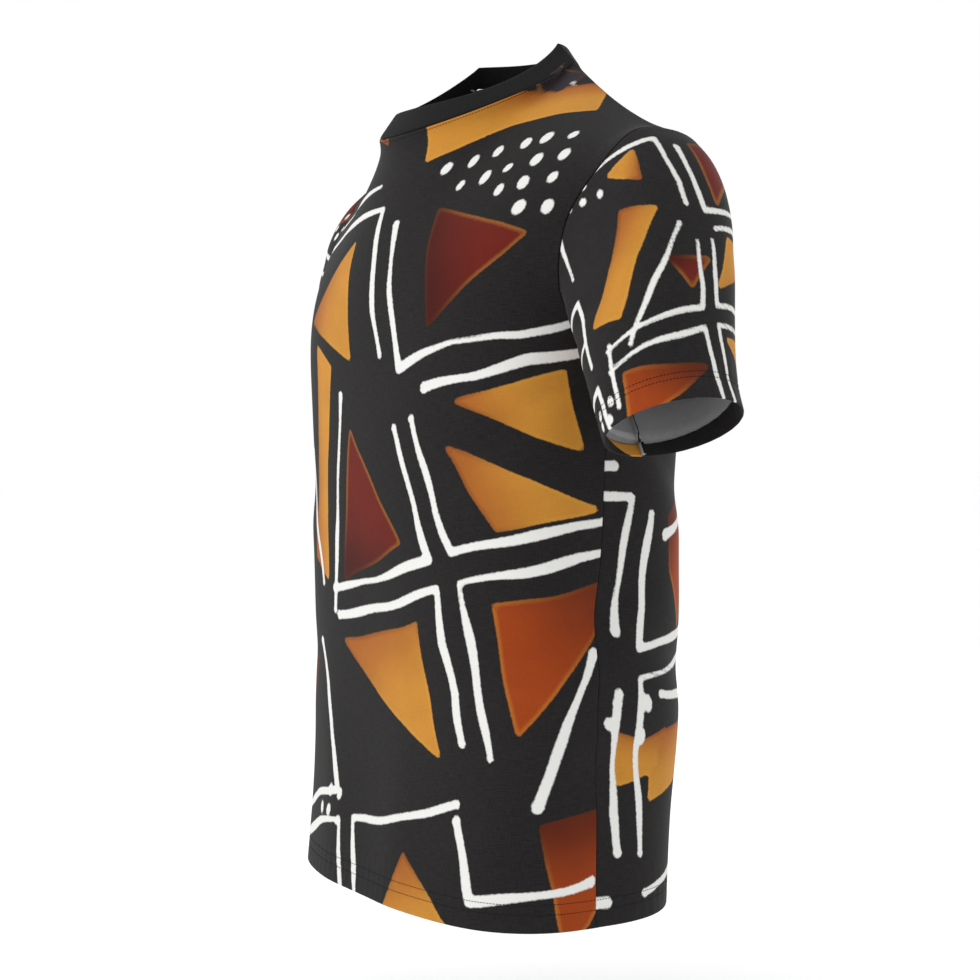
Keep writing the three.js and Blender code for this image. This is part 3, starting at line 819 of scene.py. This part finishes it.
def printed(kind, flat, inks):
    """The print at each place of a cut: depths of lines and shapes, and the ink with its dark share."""
    net = NETS[kind]
    places = unsteady(flat, net["pen"] / NETS["front"]["pen"])
    line = np.full(flat.shape[:-1], 1e6)
    patch = np.full(flat.shape[:-1], 1e6)
    ink = np.zeros(flat.shape[:-1] + (4,))
    lines = [np.array(route, float) for route in LOOSE_LINES[kind]]
    shapes = []
    for *place, name, dark in LOOSE_SHAPES[kind]:
        shapes += [(corners, name, dark) for corners in placed_shape(*place)]
    for column, row, route, *painted in CELLS[kind]:
        if route:
            lines.append(drawn_line(net, column, row, route))
        if painted:
            shape, quarters, name, dark = painted
            outlines = painted_shape(net, column, row, shape, quarters)
            shapes += [(corners, name, dark) for corners in outlines]
    swollen = PRESS * net["pen"] * pressed(flat)
    for number, route in enumerate(lines):
        depth = line_depth(places, route, net["pen"] * (1 + PRESS * waver(number, 6)))
        line = np.minimum(line, depth - swollen)
    for x, y, step_x, step_y, row_x, row_y, counts, size in DOTS[kind]:
        for down, count in enumerate(counts):
            for k in range(count):
                stray = DOT_STRAY * np.array([waver(k, down, x), waver(k, down, y)])
                centre = np.array([x + row_x * down + step_x * k, y + row_y * down + step_y * k]) + stray
                across = size * (1 + DOT_UNEVEN * waver(k, down, 7))
                line = np.minimum(line, dot_depth(places, centre, across))
    for corners, name, dark in shapes:
        depth = shape_depth(places, corners)
        ink = np.where((depth < patch)[..., None], painted_colour(places, corners, *inks[name], dark), ink)
        patch = np.minimum(patch, depth)
    return {"line": line, "patch": patch, "ink": ink}


# Finishes

# how much light the cloth throws back as a mirror does, and how soft the fuzz of its sheen is
MIRRORED = 0.12
FUZZ = 0.5

# share of the thin bright rim and of the dark scorch that a shape's edge takes, and where the edge begins
RIM_SHARE = 0.22
SCORCH_SHARE = 0.35
RIM_FROM = -4.5
RIM_TO = -0.8

# the soft edge where ink and chalk sink into the cloth, from bare to covered
INK_EDGE = (0.9, -0.7)
CHALK_EDGE = (0.95, -0.75)
THREAD_DEPTH = 0.0004
WALE_DEPTH = 0.0005


class Value:
    """What a node gives. Sums with it become nodes."""

    def __init__(self, finish, socket):
        self.finish = finish
        self.socket = socket

    def _sum(self, operation, first, second):
        return self.finish.node("ShaderNodeMath", {"operation": operation}, {0: first, 1: second})

    def __add__(self, other):
        return self._sum("ADD", self, other)

    def __sub__(self, other):
        return self._sum("SUBTRACT", self, other)

    def __rsub__(self, other):
        return self._sum("SUBTRACT", other, self)

    def __mul__(self, other):
        return self._sum("MULTIPLY", self, other)

    __radd__ = __add__
    __rmul__ = __mul__


class Finish:
    """A material, with its nodes made in one way."""

    def __init__(self, name, roughness, sheen=0.0):
        self.material = bpy.data.materials.new(name)
        self.material.use_nodes = True
        self.tree = self.material.node_tree
        self.surface = self.tree.nodes["Principled BSDF"]
        self.surface.inputs["Roughness"].default_value = roughness
        self.surface.inputs["Specular IOR Level"].default_value = MIRRORED
        self.surface.inputs["Sheen Weight"].default_value = sheen
        self.surface.inputs["Sheen Roughness"].default_value = FUZZ

    def node(self, kind, settings, sockets, output=0):
        """What a node gives, made with its settings and then the values or links of its sockets."""
        made = self.tree.nodes.new(kind)
        for key, value in settings.items():
            setattr(made, key, value)
        for key, value in sockets.items():
            self.feed(made.inputs[key], value)
        return Value(self, made.outputs[output])

    def feed(self, socket, value):
        """Sets a socket, or links what feeds it."""
        if isinstance(value, Value):
            self.tree.links.new(value.socket, socket)
        else:
            socket.default_value = value

    def cut(self, across, up):
        """Places on the cut of the cloth, stretched so that noise makes so many threads a millimetre."""
        place = self.node("ShaderNodeUVMap", {"uv_map": "cut"}, {})
        return self.node("ShaderNodeMapping", {}, {"Vector": place, "Scale": (across / MM, up / MM, 1)})

    def noise(self, across, up, detail=2.0):
        """Noise about 0, with so many spots a millimetre across and up the cut."""
        sockets = {"Vector": self.cut(across, up), "Scale": 1.0, "Detail": detail}
        return self.node("ShaderNodeTexNoise", {}, sockets) - 0.5

    def stored(self, name, output="Fac"):
        """A value stored on the points of the piece."""
        return self.node("ShaderNodeAttribute", {"attribute_name": name}, {}, output)

    def step(self, value, low, high):
        """An even step from 0 to 1 as a value goes from low to high."""
        sockets = {"Value": value, "From Min": low, "From Max": high}
        return self.node("ShaderNodeMapRange", {"interpolation_type": "SMOOTHSTEP"}, sockets)

    def blend(self, share, first, second):
        """One colour turned into another by a share."""
        return self.node("ShaderNodeMix", {"data_type": "RGBA"}, {0: share, 6: first, 7: second}, 2)

    def scaled(self, colour, by):
        """A colour made lighter or darker."""
        return self.node("ShaderNodeVectorMath", {"operation": "SCALE"}, {"Vector": colour, "Scale": by})

    def paint(self, colour):
        """Gives the surface its colour."""
        self.feed(self.surface.inputs["Base Color"], colour)

    def bump(self, height, strength, distance):
        """Relief from a height."""
        sockets = {"Height": height, "Strength": strength, "Distance": distance}
        self.feed(self.surface.inputs["Normal"], self.node("ShaderNodeBump", {}, sockets))


def opaque(colour):
    """A colour with full alpha, as a shader socket takes it."""
    return (*colour, 1.0)


def linear(code):
    """A colour from its six hexadecimal digits, in the linear scale that shaders use."""
    parts = [int(code[k : k + 2], 16) / 255 for k in (0, 2, 4)]
    return tuple(part / 12.92 if part < 0.04 else ((part + 0.055) / 1.055) ** 2.4 for part in parts)


# threads across, threads along and loops: spots a millimetre across and up the cut, detail and share
JERSEY = [(0.10, 1.7, 2.0, 0.9), (1.6, 0.14, 2.0, 0.7), (1.9, 1.9, 1.0, 0.5)]


def jersey_threads(finish):
    """Fine knit and slub of the jersey, about 0."""
    across, along, loops = (finish.noise(*spots, detail) * share for *spots, detail, share in JERSEY)
    return across + along + loops


def printed_jersey(settings):
    """Charcoal jersey with white lines and shaded inks, and soft edges where the ink sinks in."""
    finish = Finish("printed jersey", 0.9, 0.05)
    threads = jersey_threads(finish)
    spread = finish.noise(0.35, 0.35) * 1.5 + threads * 0.5
    line = finish.stored("line") + spread
    patch = finish.stored("patch") + spread
    dark_share = finish.stored("ink", "Alpha")
    ink = finish.stored("ink", "Color")
    near_edge = finish.step(patch, RIM_FROM, RIM_TO)
    ink = finish.blend(near_edge * (1 - dark_share) * RIM_SHARE, ink, opaque(settings.rim))
    ink = finish.blend(near_edge * dark_share * SCORCH_SHARE, ink, opaque(settings.scorch))
    washed = finish.noise(0.02, 0.03) * 0.30 + threads * 0.22 + 1.0
    worn = finish.noise(0.004, 0.006) * 0.6 + threads * 1.5 + 1.0
    ground = finish.scaled(settings.charcoal, worn)
    painted = finish.blend(finish.step(patch, *INK_EDGE), ground, finish.scaled(ink, washed))
    chalk = finish.scaled(settings.chalk, threads * 0.12 + 1.0)
    colour = finish.blend(finish.step(line, *CHALK_EDGE), painted, chalk)
    finish.paint(colour)
    finish.bump(threads, 0.35, THREAD_DEPTH)
    return finish.material


def jersey_reverse(settings):
    """The unprinted inside, pale grey, where the print shows through faintly."""
    finish = Finish("jersey reverse", 0.92, 0.1)
    threads = jersey_threads(finish)
    line = finish.step(finish.stored("line"), 1.8, -1.0)
    patch = finish.step(finish.stored("patch"), 2.5, -2.0)
    show = line * 0.5 + patch * 0.06 + threads * 0.30 + 0.86
    finish.paint(finish.scaled(settings.reverse, show))
    finish.bump(threads, 0.4, THREAD_DEPTH)
    return finish.material


def black_rib(settings):
    """Fine black rib knit, with its wales across the neck band."""
    finish = Finish("black rib", 0.93, 0.04)
    sockets = {"Vector": finish.cut(1.0, 1.0), "Scale": 0.22}
    wales = finish.node("ShaderNodeTexWave", {"bands_direction": "X"}, sockets)
    flecks = finish.noise(0.9, 1.7)
    shade = wales * 0.35 + flecks * 0.9 + 0.85
    finish.paint(finish.scaled(settings.rib, shade))
    finish.bump(wales + flecks * 0.8, 0.6, WALE_DEPTH)
    return finish.material


def mottled(name, roughness, colour, spots, contrast, least):
    """A plain finish whose colour varies a little, with so many spots a metre."""
    finish = Finish(name, roughness)
    place = finish.node("ShaderNodeTexCoord", {}, {}, "Object")
    mottle = finish.node("ShaderNodeTexNoise", {}, {"Vector": place, "Scale": spots})
    finish.paint(finish.scaled(colour, mottle * contrast + least))
    return finish.material


@lru_cache(maxsize=None)
def finishes():
    """Every finish of the shirt, made once."""
    settings = bpy.context.scene.shirt
    return {
        "jersey": printed_jersey(settings),
        "reverse": jersey_reverse(settings),
        "rib": black_rib(settings),
        "thread": mottled("black thread", 0.6, linear("141312"), 3500.0, 0.7, 0.65),
        "light thread": mottled("grey thread", 0.6, linear("8F8F90"), 3500.0, 0.7, 0.65),
        "floor": mottled("floor", 0.8, settings.floor, 3.0, 0.01, 0.995),
    }


# Settings


def colour_setting(name, description, default):
    """A colour that a user may change."""
    return FloatVectorProperty(
        name=name, description=description, default=default, min=0.0, max=1.0, subtype="COLOR"
    )


class ShirtSettings(bpy.types.PropertyGroup):
    """Sizes and colours of the shirt."""

    cloth_thickness: FloatProperty(
        name="Cloth thickness",
        description="Thickness of the jersey",
        default=0.0007,
        min=0.0003,
        max=0.0012,
        unit="LENGTH",
    )
    stitch_length: FloatProperty(
        name="Stitch length",
        description="Length of one stitch of the hems and seams",
        default=0.0027,
        min=0.001,
        max=0.006,
        unit="LENGTH",
    )
    charcoal: colour_setting("Charcoal", "Ground colour of the print", linear("1F1D1D"))
    chalk: colour_setting("White", "Lines and dots of the print", linear("D8D8D5"))
    ochre: colour_setting("Ochre", "Bright side of the ochre shapes", linear("B67D2F"))
    ochre_dark: colour_setting("Dark ochre", "Dark side of the ochre shapes", linear("985623"))
    rust: colour_setting("Rust", "Bright side of the rust shapes", linear("8E3A12"))
    rust_dark: colour_setting("Dark rust", "Dark side of the rust shapes", linear("54200F"))
    maroon: colour_setting("Maroon", "Bright side of the maroon shapes", linear("601B12"))
    maroon_dark: colour_setting("Dark maroon", "Dark side of the maroon shapes", linear("3E130D"))
    plum: colour_setting("Plum", "Dark shape under the neck band", linear("2C252B"))
    rim: colour_setting("Rim", "Thin bright edge of the shapes", linear("C9963A"))
    scorch: colour_setting("Scorch", "Thin dark edge of the shapes", linear("4A2412"))
    reverse: colour_setting("Reverse", "Unprinted inside of the jersey", linear("A4A4A6"))
    rib: colour_setting("Rib", "Neck band", linear("101011"))
    floor: colour_setting("Floor", "Floor", linear("FFFFFF"))


def inks(settings):
    """Bright and dark colour of each ink."""
    return {
        "ochre": (settings.ochre, settings.ochre_dark),
        "rust": (settings.rust, settings.rust_dark),
        "maroon": (settings.maroon, settings.maroon_dark),
        "plum": (settings.plum, settings.plum),
        "white": (settings.chalk, settings.chalk),
    }


# Pieces

PANEL_MESH = 3.05
SLEEVE_MESH = 2.4
EDGE_TURN = 4.0

# distance from the edge of each row of stitches
HEM_ROWS = (14.5, 22.5)
CUFF_ROWS = (17.0, 21.5)
NECK_ROW = 3.0
SHOULDER_ROW = 5.5
INSIDE_NECK_ROW = 5.0
STITCH_SHARE = 0.8
STITCH_WIDTH = 0.75
STITCH_HEIGHT = 0.5
STITCH_LIFT = 0.1

# how deep and how wide the stitching sinks the cloth
STITCH_SINK = 0.35
STITCH_DIP = 2.4
# small puckers along rows of stitches and side seams: height, length, how far they stray, over what length
ROW_PUCKERS = (0.22, 10.5, 1.6, 23.0)
SEAM_PUCKERS = (0.286, 17.85, 1.4, 31.0)
PUCKER_REACH = 16.0

# small creases of the sleeve: turn round it, share up from the cuff, tilt, width, length, depth
SLEEVE_CREASES = [
    (60, 0.72, 30, 9, 30, -1.6),
    (95, 0.55, 48, 10, 34, -1.3),
    (120, 0.80, 20, 8, 26, 1.2),
    (150, 0.60, -30, 10, 34, -1.8),
    (20, 0.34, 12, 12, 36, 1.0),
    (-60, 0.66, -34, 10, 32, -1.6),
    (-110, 0.50, -46, 10, 34, 1.3),
    (-150, 0.72, 26, 10, 34, -1.8),
]


def edge_distance(flat):
    """How far each place of a cut lies in from its nearer side edge."""
    left = np.linalg.norm(flat - flat[:, :1], axis=-1)
    right = np.linalg.norm(flat - flat[:, -1:], axis=-1)
    return np.minimum(left, right)


def puckers(along, away, height, length, stray, stray_length):
    """Small waves along a line of stitches, which fade away from it."""
    wave = np.sin(2 * math.pi * along / length + stray * np.sin(along / stray_length))
    return height * wave * np.exp(-((away / PUCKER_REACH) ** 2))


def stitched_form(cloth, rows, side_seams):
    """Small relief where cloth is stitched: dips under the rows and puckers beside them."""
    up = cloth.flat[..., 1] - cloth.flat[:1, :, 1]
    height = np.zeros_like(up)
    for row in rows:
        height -= STITCH_SINK * np.exp(-(((up - row) / STITCH_DIP) ** 2))
    height += puckers(cloth.flat[..., 0], up - rows[0], *ROW_PUCKERS)
    if side_seams:
        height += puckers(cloth.flat[..., 1], edge_distance(cloth.flat), *SEAM_PUCKERS)
    return height


@lru_cache(maxsize=None)
def panel_cloth(side):
    """The fine cloth of a panel with its folds, before its edges are turned."""
    cloth = Cloth(panel_net(side), PANEL_MESH, -PANELS[side]["way"])
    cloth.points[..., 1] += PANELS[side]["way"] * SEAM_SHIFT
    across = np.abs(cloth.columns - HALF_COLUMNS) / HALF_COLUMNS
    near_edge = smooth((across - FOLD_EDGE_FROM) / (1 - FOLD_EDGE_FROM))[None, :]
    near_arm = smooth((cloth.points[..., 2] - UNDERARM + FOLD_FADE) / FOLD_FADE)
    near_top = smooth((cloth.rows - LOWER_ROWS) / (UPPER_ROWS * FOLD_TOP_ROWS))[:, None]
    cloth.push(fold_height(cloth.points) * (1 - near_edge * near_arm) * (1 - near_top))
    in_from_side = smooth(edge_distance(cloth.flat) / EDGE_TURN)
    cloth.push(stitched_form(cloth, HEM_ROWS, True) * in_from_side * (1 - near_top))
    return cloth


@lru_cache(maxsize=None)
def sleeve_cloth(sign):
    """The fine cloth of a sleeve with its creases, before its edges are turned."""
    cloth = Cloth(sleeve_net(sign), SLEEVE_MESH, -1)
    turn = np.linspace(180, 540, cloth.flat.shape[1])[None, :]
    share = np.linspace(0, 1, cloth.flat.shape[0])[:, None]
    length = cloth.flat[-1, :, 1].max()
    girth = np.ptp(cloth.flat[0, :, 0])
    height = np.zeros(cloth.flat.shape[:2])
    for at, level, tilt, width, long, depth in SLEEVE_CREASES:
        away = ((turn - at + 180) % 360 - 180) / 360 * girth
        height += depth * ridge(away, (share - level) * length, tilt, width, long)
    height *= smooth((1 - share) * 5)
    if sign < 0:
        height = height[:, ::-1]
    cloth.push(height)
    cloth.push(stitched_form(cloth, CUFF_ROWS, False))
    return cloth


def at_length(distance, along, values):
    """The value of each column at a distance along a line."""
    return np.array([np.interp(distance, along, column) for column in values.T])


def edge_line(cloth, edge, distance):
    """Points and normals along the bottom or top of a sheet, a distance in from it, before it is turned."""
    points, normals = cloth.points, cloth.normals
    if edge == "top":
        points, normals = points[::-1], normals[::-1]
    made = []
    for column in range(points.shape[1]):
        along = lengths_along(np.linalg.norm(np.diff(points[:, column], axis=0), axis=1))
        made.append([at_length(distance, along, values[:, column]) for values in (points, normals)])
    made = np.array(made)
    return made[:, 0], unit(made[:, 1])


def top_row(cloth, distance, part, lift):
    """A row of stitches along the neckline of a panel, or along its left or right shoulder."""
    across = (cloth.columns - HALF_COLUMNS) / HALF_COLUMNS
    parts = {"neck": np.abs(across) < NECK_SHARE, "left": across > NECK_SHARE, "right": across < -NECK_SHARE}
    points, normals = edge_line(cloth, "top", distance)
    return points[parts[part]], normals[parts[part]], lift


def add_stitches(sewing, points, normals, length, lift):
    """Adds a row of small oval stitches along a line, lifted off the cloth."""
    along = lengths_along(np.linalg.norm(np.diff(points, axis=0), axis=1))
    count = int(along[-1] / (length / MM))
    size = np.array([length / MM * STITCH_SHARE / 2, STITCH_WIDTH / 2, STITCH_HEIGHT / 2])
    for k in range(count):
        reach = [along[-1] * (k + share) / count for share in (0.1, 0.5, 0.9)]
        start, middle, end = (at_length(distance, along, points) for distance in reach)
        out = unit(at_length(reach[1], along, normals))
        way = unit(end - start)
        place = np.eye(4)
        place[:3, :3] = np.stack([way, np.cross(out, way), out], 1) * size * MM
        place[:3, 3] = (middle + out * lift) * MM
        bmesh.ops.create_icosphere(sewing, subdivisions=1, radius=1.0, matrix=Matrix(place))


def stitching(name, rows, finish, length):
    """A piece of rows of stitches, each (points, normals, lift)."""
    sewing = bmesh.new()
    for points, normals, lift in rows:
        add_stitches(sewing, points, normals, length, lift)
    bmesh.ops.recalc_face_normals(sewing, faces=sewing.faces)
    piece = new_object(name, sewing)
    piece.data.materials.append(finishes()[finish])
    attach(piece, "root")
    return piece


def cut_size(cloth):
    """Width, length and area of the cut, with what is turned in at its edges, in metres."""
    flat = cloth.flat * MM
    one = flat[1:, 1:] - flat[:-1, :-1]
    other = flat[1:, :-1] - flat[:-1, 1:]
    area = np.abs(one[..., 0] * other[..., 1] - one[..., 1] * other[..., 0]).sum() / 2
    return float(np.ptp(flat[..., 0])), float(np.ptp(flat[..., 1])), float(area)


def finish_cloth(piece, node, thickness, inside):
    """Gives a sheet its thickness and its finish inside, and joins it to the frame."""
    wall = piece.modifiers.new("thickness", "SOLIDIFY")
    wall.thickness = thickness
    wall.offset = -1
    wall.material_offset = inside
    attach(piece, "root")
    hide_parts(node)


def printed_piece(context, kind, node, cloth, turned):
    """One printed piece of the shirt, with its edges turned in."""
    settings = context.scene.shirt
    made = copy(cloth)
    made.turn_edges(turned, EDGE_TURN, EDGE_TURN)
    piece = cloth_object(node + "_cloth", made, printed(kind, made.flat, inks(settings)))
    piece.data.materials.append(finishes()["jersey"])
    piece.data.materials.append(finishes()["reverse"])
    finish_cloth(piece, node, settings.cloth_thickness, 1)
    width, length, area = cut_size(made)
    return piece


class SHIRT_OT_panels(bpy.types.Operator):
    """Makes the front and the back of the shirt"""

    bl_idname = "shirt.panels"
    bl_label = "Front and back"

    def execute(self, context):
        for side, node in (("front", "front"), ("rear", "back")):
            printed_piece(context, node, node, panel_cloth(side), HEM_DEPTH)
        return {"FINISHED"}


class SHIRT_OT_sleeves(bpy.types.Operator):
    """Makes the two sleeves"""

    bl_idname = "shirt.sleeves"
    bl_label = "Sleeves"

    def execute(self, context):
        for sign, node in ((1, "sleeve_left"), (-1, "sleeve_right")):
            printed_piece(context, "sleeve", node, sleeve_cloth(sign), CUFF_DEPTH)
        return {"FINISHED"}


BAND_COLUMNS = 300
BAND_LAYER = 0.9


def band_ring(count):
    """Places round the neckline, from the middle rear and back to it."""
    turn = np.linspace(-math.pi, math.pi, count + 1)
    away = np.abs(turn)
    front = neckline("front", away / HIGH_POINT_TURN)
    rear = neckline("rear", (math.pi - away) / (math.pi - HIGH_POINT_TURN))
    ring = np.where((away <= HIGH_POINT_TURN)[:, None], front, rear)
    ring[:, 0] = np.abs(ring[:, 0]) * np.sign(turn)
    return ring


def band_rows():
    """The section of the folded band: height as a share, and how far inwards as a share of its wall."""
    rim = math.pi * np.linspace(0, 1, 9)
    outside = [(0.0, 0.35), (0.02, 0.12), (0.06, -0.02), (0.14, -0.08)]
    outside += [(share, -0.1 + 0.1 * share**3) for share in (0.25, 0.4, 0.55, 0.7, 0.82)]
    fold = [(0.93 + 0.07 * math.sin(a), 0.5 - 0.5 * math.cos(a)) for a in rim]
    inside = [(share, 1.0) for share in (0.82, 0.66, 0.5, 0.34, 0.18, 0.06)]
    return outside + fold + inside + [(0.0, 0.92)]


def band_size(sizes, ring):
    """A size of the band at each place of the neckline, blended from the front, the sides and the rear."""
    away = ring[:, 1] / np.hypot(ring[:, 1], ring[:, 0] * NECK_FRONT / NECK_HALF_WIDTH)
    return mix(sizes["side"], np.where(away < 0, sizes["front"], sizes["rear"]), away**2)


class SHIRT_OT_neck_band(bpy.types.Operator):
    """Makes the folded rib band of the neck"""

    bl_idname = "shirt.neck_band"
    bl_label = "Neck band"

    def execute(self, context):
        ring = band_ring(BAND_COLUMNS)
        rise = band_size(BAND_RISE, ring)
        lean = band_size(BAND_LEAN, ring)
        inward = unit(np.stack([-ring[:, 0] / NECK_HALF_WIDTH, -ring[:, 1] / NECK_FRONT, 0 * rise], -1))
        rows = []
        for up, depth in band_rows():
            row = ring + inward * (lean * up + depth * BAND_WALL)[:, None]
            row[:, 2] += BAND_GAP + rise * up
            rows.append(row)
        points = np.array(rows)
        around = np.linalg.norm(np.diff(ring, axis=0), axis=1)
        across = lengths_along(around) - around.sum() / 2
        along = lengths_along(np.linalg.norm(np.diff(points, axis=0), axis=2).mean(1))
        flat = np.stack(np.meshgrid(across, along), -1)
        band = SimpleNamespace(points=points, flat=flat, outward=1)
        piece = cloth_object("neck_band_cloth", band, {})
        shape = bmesh.new()
        shape.from_mesh(piece.data)
        bmesh.ops.remove_doubles(shape, verts=shape.verts, dist=1e-6)
        shape.to_mesh(piece.data)
        shape.free()
        piece.data.materials.append(finishes()["rib"])
        finish_cloth(piece, "neck_band", BAND_LAYER * MM, 0)
        width, length, _ = cut_size(band)
        return {"FINISHED"}


class SHIRT_OT_stitching(bpy.types.Operator):
    """Sews the hems, the cuffs, the neckline and the shoulders"""

    bl_idname = "shirt.stitching"
    bl_label = "Stitching"

    def execute(self, context):
        length = context.scene.shirt.stitch_length
        panels = [panel_cloth(side) for side in ("front", "rear")]
        sleeves = [sleeve_cloth(sign) for sign in (1, -1)]
        for name, cloths, rows in (("hem_stitches", panels, HEM_ROWS), ("cuff_stitches", sleeves, CUFF_ROWS)):
            sewn = [(*edge_line(cloth, "bottom", row), STITCH_LIFT) for cloth in cloths for row in rows]
            stitching(name, sewn, "thread", length)
        rear = panels[1]
        under = -STITCH_LIFT - context.scene.shirt.cloth_thickness / MM
        neck = [top_row(cloth, NECK_ROW, "neck", STITCH_LIFT) for cloth in panels]
        shoulders = [top_row(rear, SHOULDER_ROW, part, STITCH_LIFT) for part in ("left", "right")]
        inside = [top_row(rear, INSIDE_NECK_ROW, "neck", under)]
        stitching("neck_stitches", neck, "thread", length)
        stitching("shoulder_stitches", shoulders, "thread", length)
        stitching("inside_neck_stitches", inside, "light thread", length)
        return {"FINISHED"}


# Stage

FLOOR_LEVEL = -0.86
FLOOR_SIZE = 14.0
CAMERA_TURN = math.radians(59.4)
CAMERA_AWAY = 1.722
CAMERA_LEVEL = -0.309
CAMERA_LENS = 71.67
CAMERA_SHIFT = (0.0071, -0.069)
SENSOR_WIDTH = 36
AIM = (0.0, 0.0, -0.36)

# turn from the front towards the wearer's left, height above the shirt's middle, distance, size and power
LIGHTS = {
    "key": (-8, 0.7, 2.6, 1.8, 22.0),
    "fill": (100, 0.5, 3.2, 2.2, 1.5),
    "back": (205, 0.9, 2.8, 1.6, 14.0),
    "top": (20, 2.6, 0.4, 1.8, 4.0),
}


def round_from_front(turn, away):
    """x and y of a place at a turn from the front towards the wearer's left."""
    return away * math.sin(turn), -away * math.cos(turn)


class SHIRT_OT_stage(bpy.types.Operator):
    """Makes the floor, the lights and the camera"""

    bl_idname = "shirt.stage"
    bl_label = "Stage"

    def execute(self, context):
        floor = bmesh.new()
        bmesh.ops.create_grid(floor, x_segments=1, y_segments=1, size=FLOOR_SIZE)
        bmesh.ops.translate(floor, verts=floor.verts, vec=(0, 0, FLOOR_LEVEL))
        piece = new_object("floor", floor)
        piece.data.materials.append(finishes()["floor"])
        camera = bpy.data.cameras.new("camera")
        camera.sensor_width = SENSOR_WIDTH
        camera.lens = CAMERA_LENS
        camera.shift_x, camera.shift_y = CAMERA_SHIFT
        eye = bpy.data.objects.new("camera", camera)
        eye.location = (*round_from_front(CAMERA_TURN, CAMERA_AWAY), CAMERA_LEVEL)
        eye.rotation_euler = (math.pi / 2, 0, CAMERA_TURN)
        context.scene.collection.objects.link(eye)
        context.scene.camera = eye
        for name, (turn, height, away, size, power) in LIGHTS.items():
            lamp = bpy.data.lights.new(name, "AREA")
            lamp.shape = "DISK"
            lamp.size = size
            lamp.energy = power
            holder = bpy.data.objects.new(name, lamp)
            holder.location = (*round_from_front(math.radians(turn), away), AIM[2] + height)
            way = holder.location - Matrix.Translation(AIM).translation
            holder.rotation_euler = way.to_track_quat("Z", "Y").to_euler()
            context.scene.collection.objects.link(holder)
        world = bpy.data.worlds.new("studio")
        world.use_nodes = True
        light = world.node_tree.nodes["Background"].inputs
        light["Color"].default_value = (1, 1, 1, 1)
        light["Strength"].default_value = 1.0
        context.scene.world = world
        context.scene.view_settings.view_transform = "Standard"
        return {"FINISHED"}


class SHIRT_PT_sidebar(bpy.types.Panel):
    """Lists the pieces of the shirt and their settings"""

    bl_idname = "SHIRT_PT_sidebar"
    bl_label = "Mud cloth t-shirt"
    bl_space_type = "VIEW_3D"
    bl_region_type = "UI"
    bl_category = "T-shirt"

    def draw(self, context):
        for item in OPERATORS:
            self.layout.operator(item.bl_idname)
        for name in ShirtSettings.__annotations__:
            self.layout.prop(context.scene.shirt, name)


OPERATORS = (SHIRT_OT_stage, SHIRT_OT_panels, SHIRT_OT_sleeves, SHIRT_OT_neck_band, SHIRT_OT_stitching)


def register():
    for item in (ShirtSettings, *OPERATORS, SHIRT_PT_sidebar):
        bpy.utils.register_class(item)
    bpy.types.Scene.shirt = PointerProperty(type=ShirtSettings)


def unregister():
    del bpy.types.Scene.shirt
    for item in (SHIRT_PT_sidebar, *reversed(OPERATORS), ShirtSettings):
        bpy.utils.unregister_class(item)


def main():
    register()
    bpy.ops.shirt.stage()
    bpy.ops.shirt.panels()
    bpy.ops.shirt.sleeves()
    bpy.ops.shirt.neck_band()
    bpy.ops.shirt.stitching()


if __name__ == "__main__":
    main()
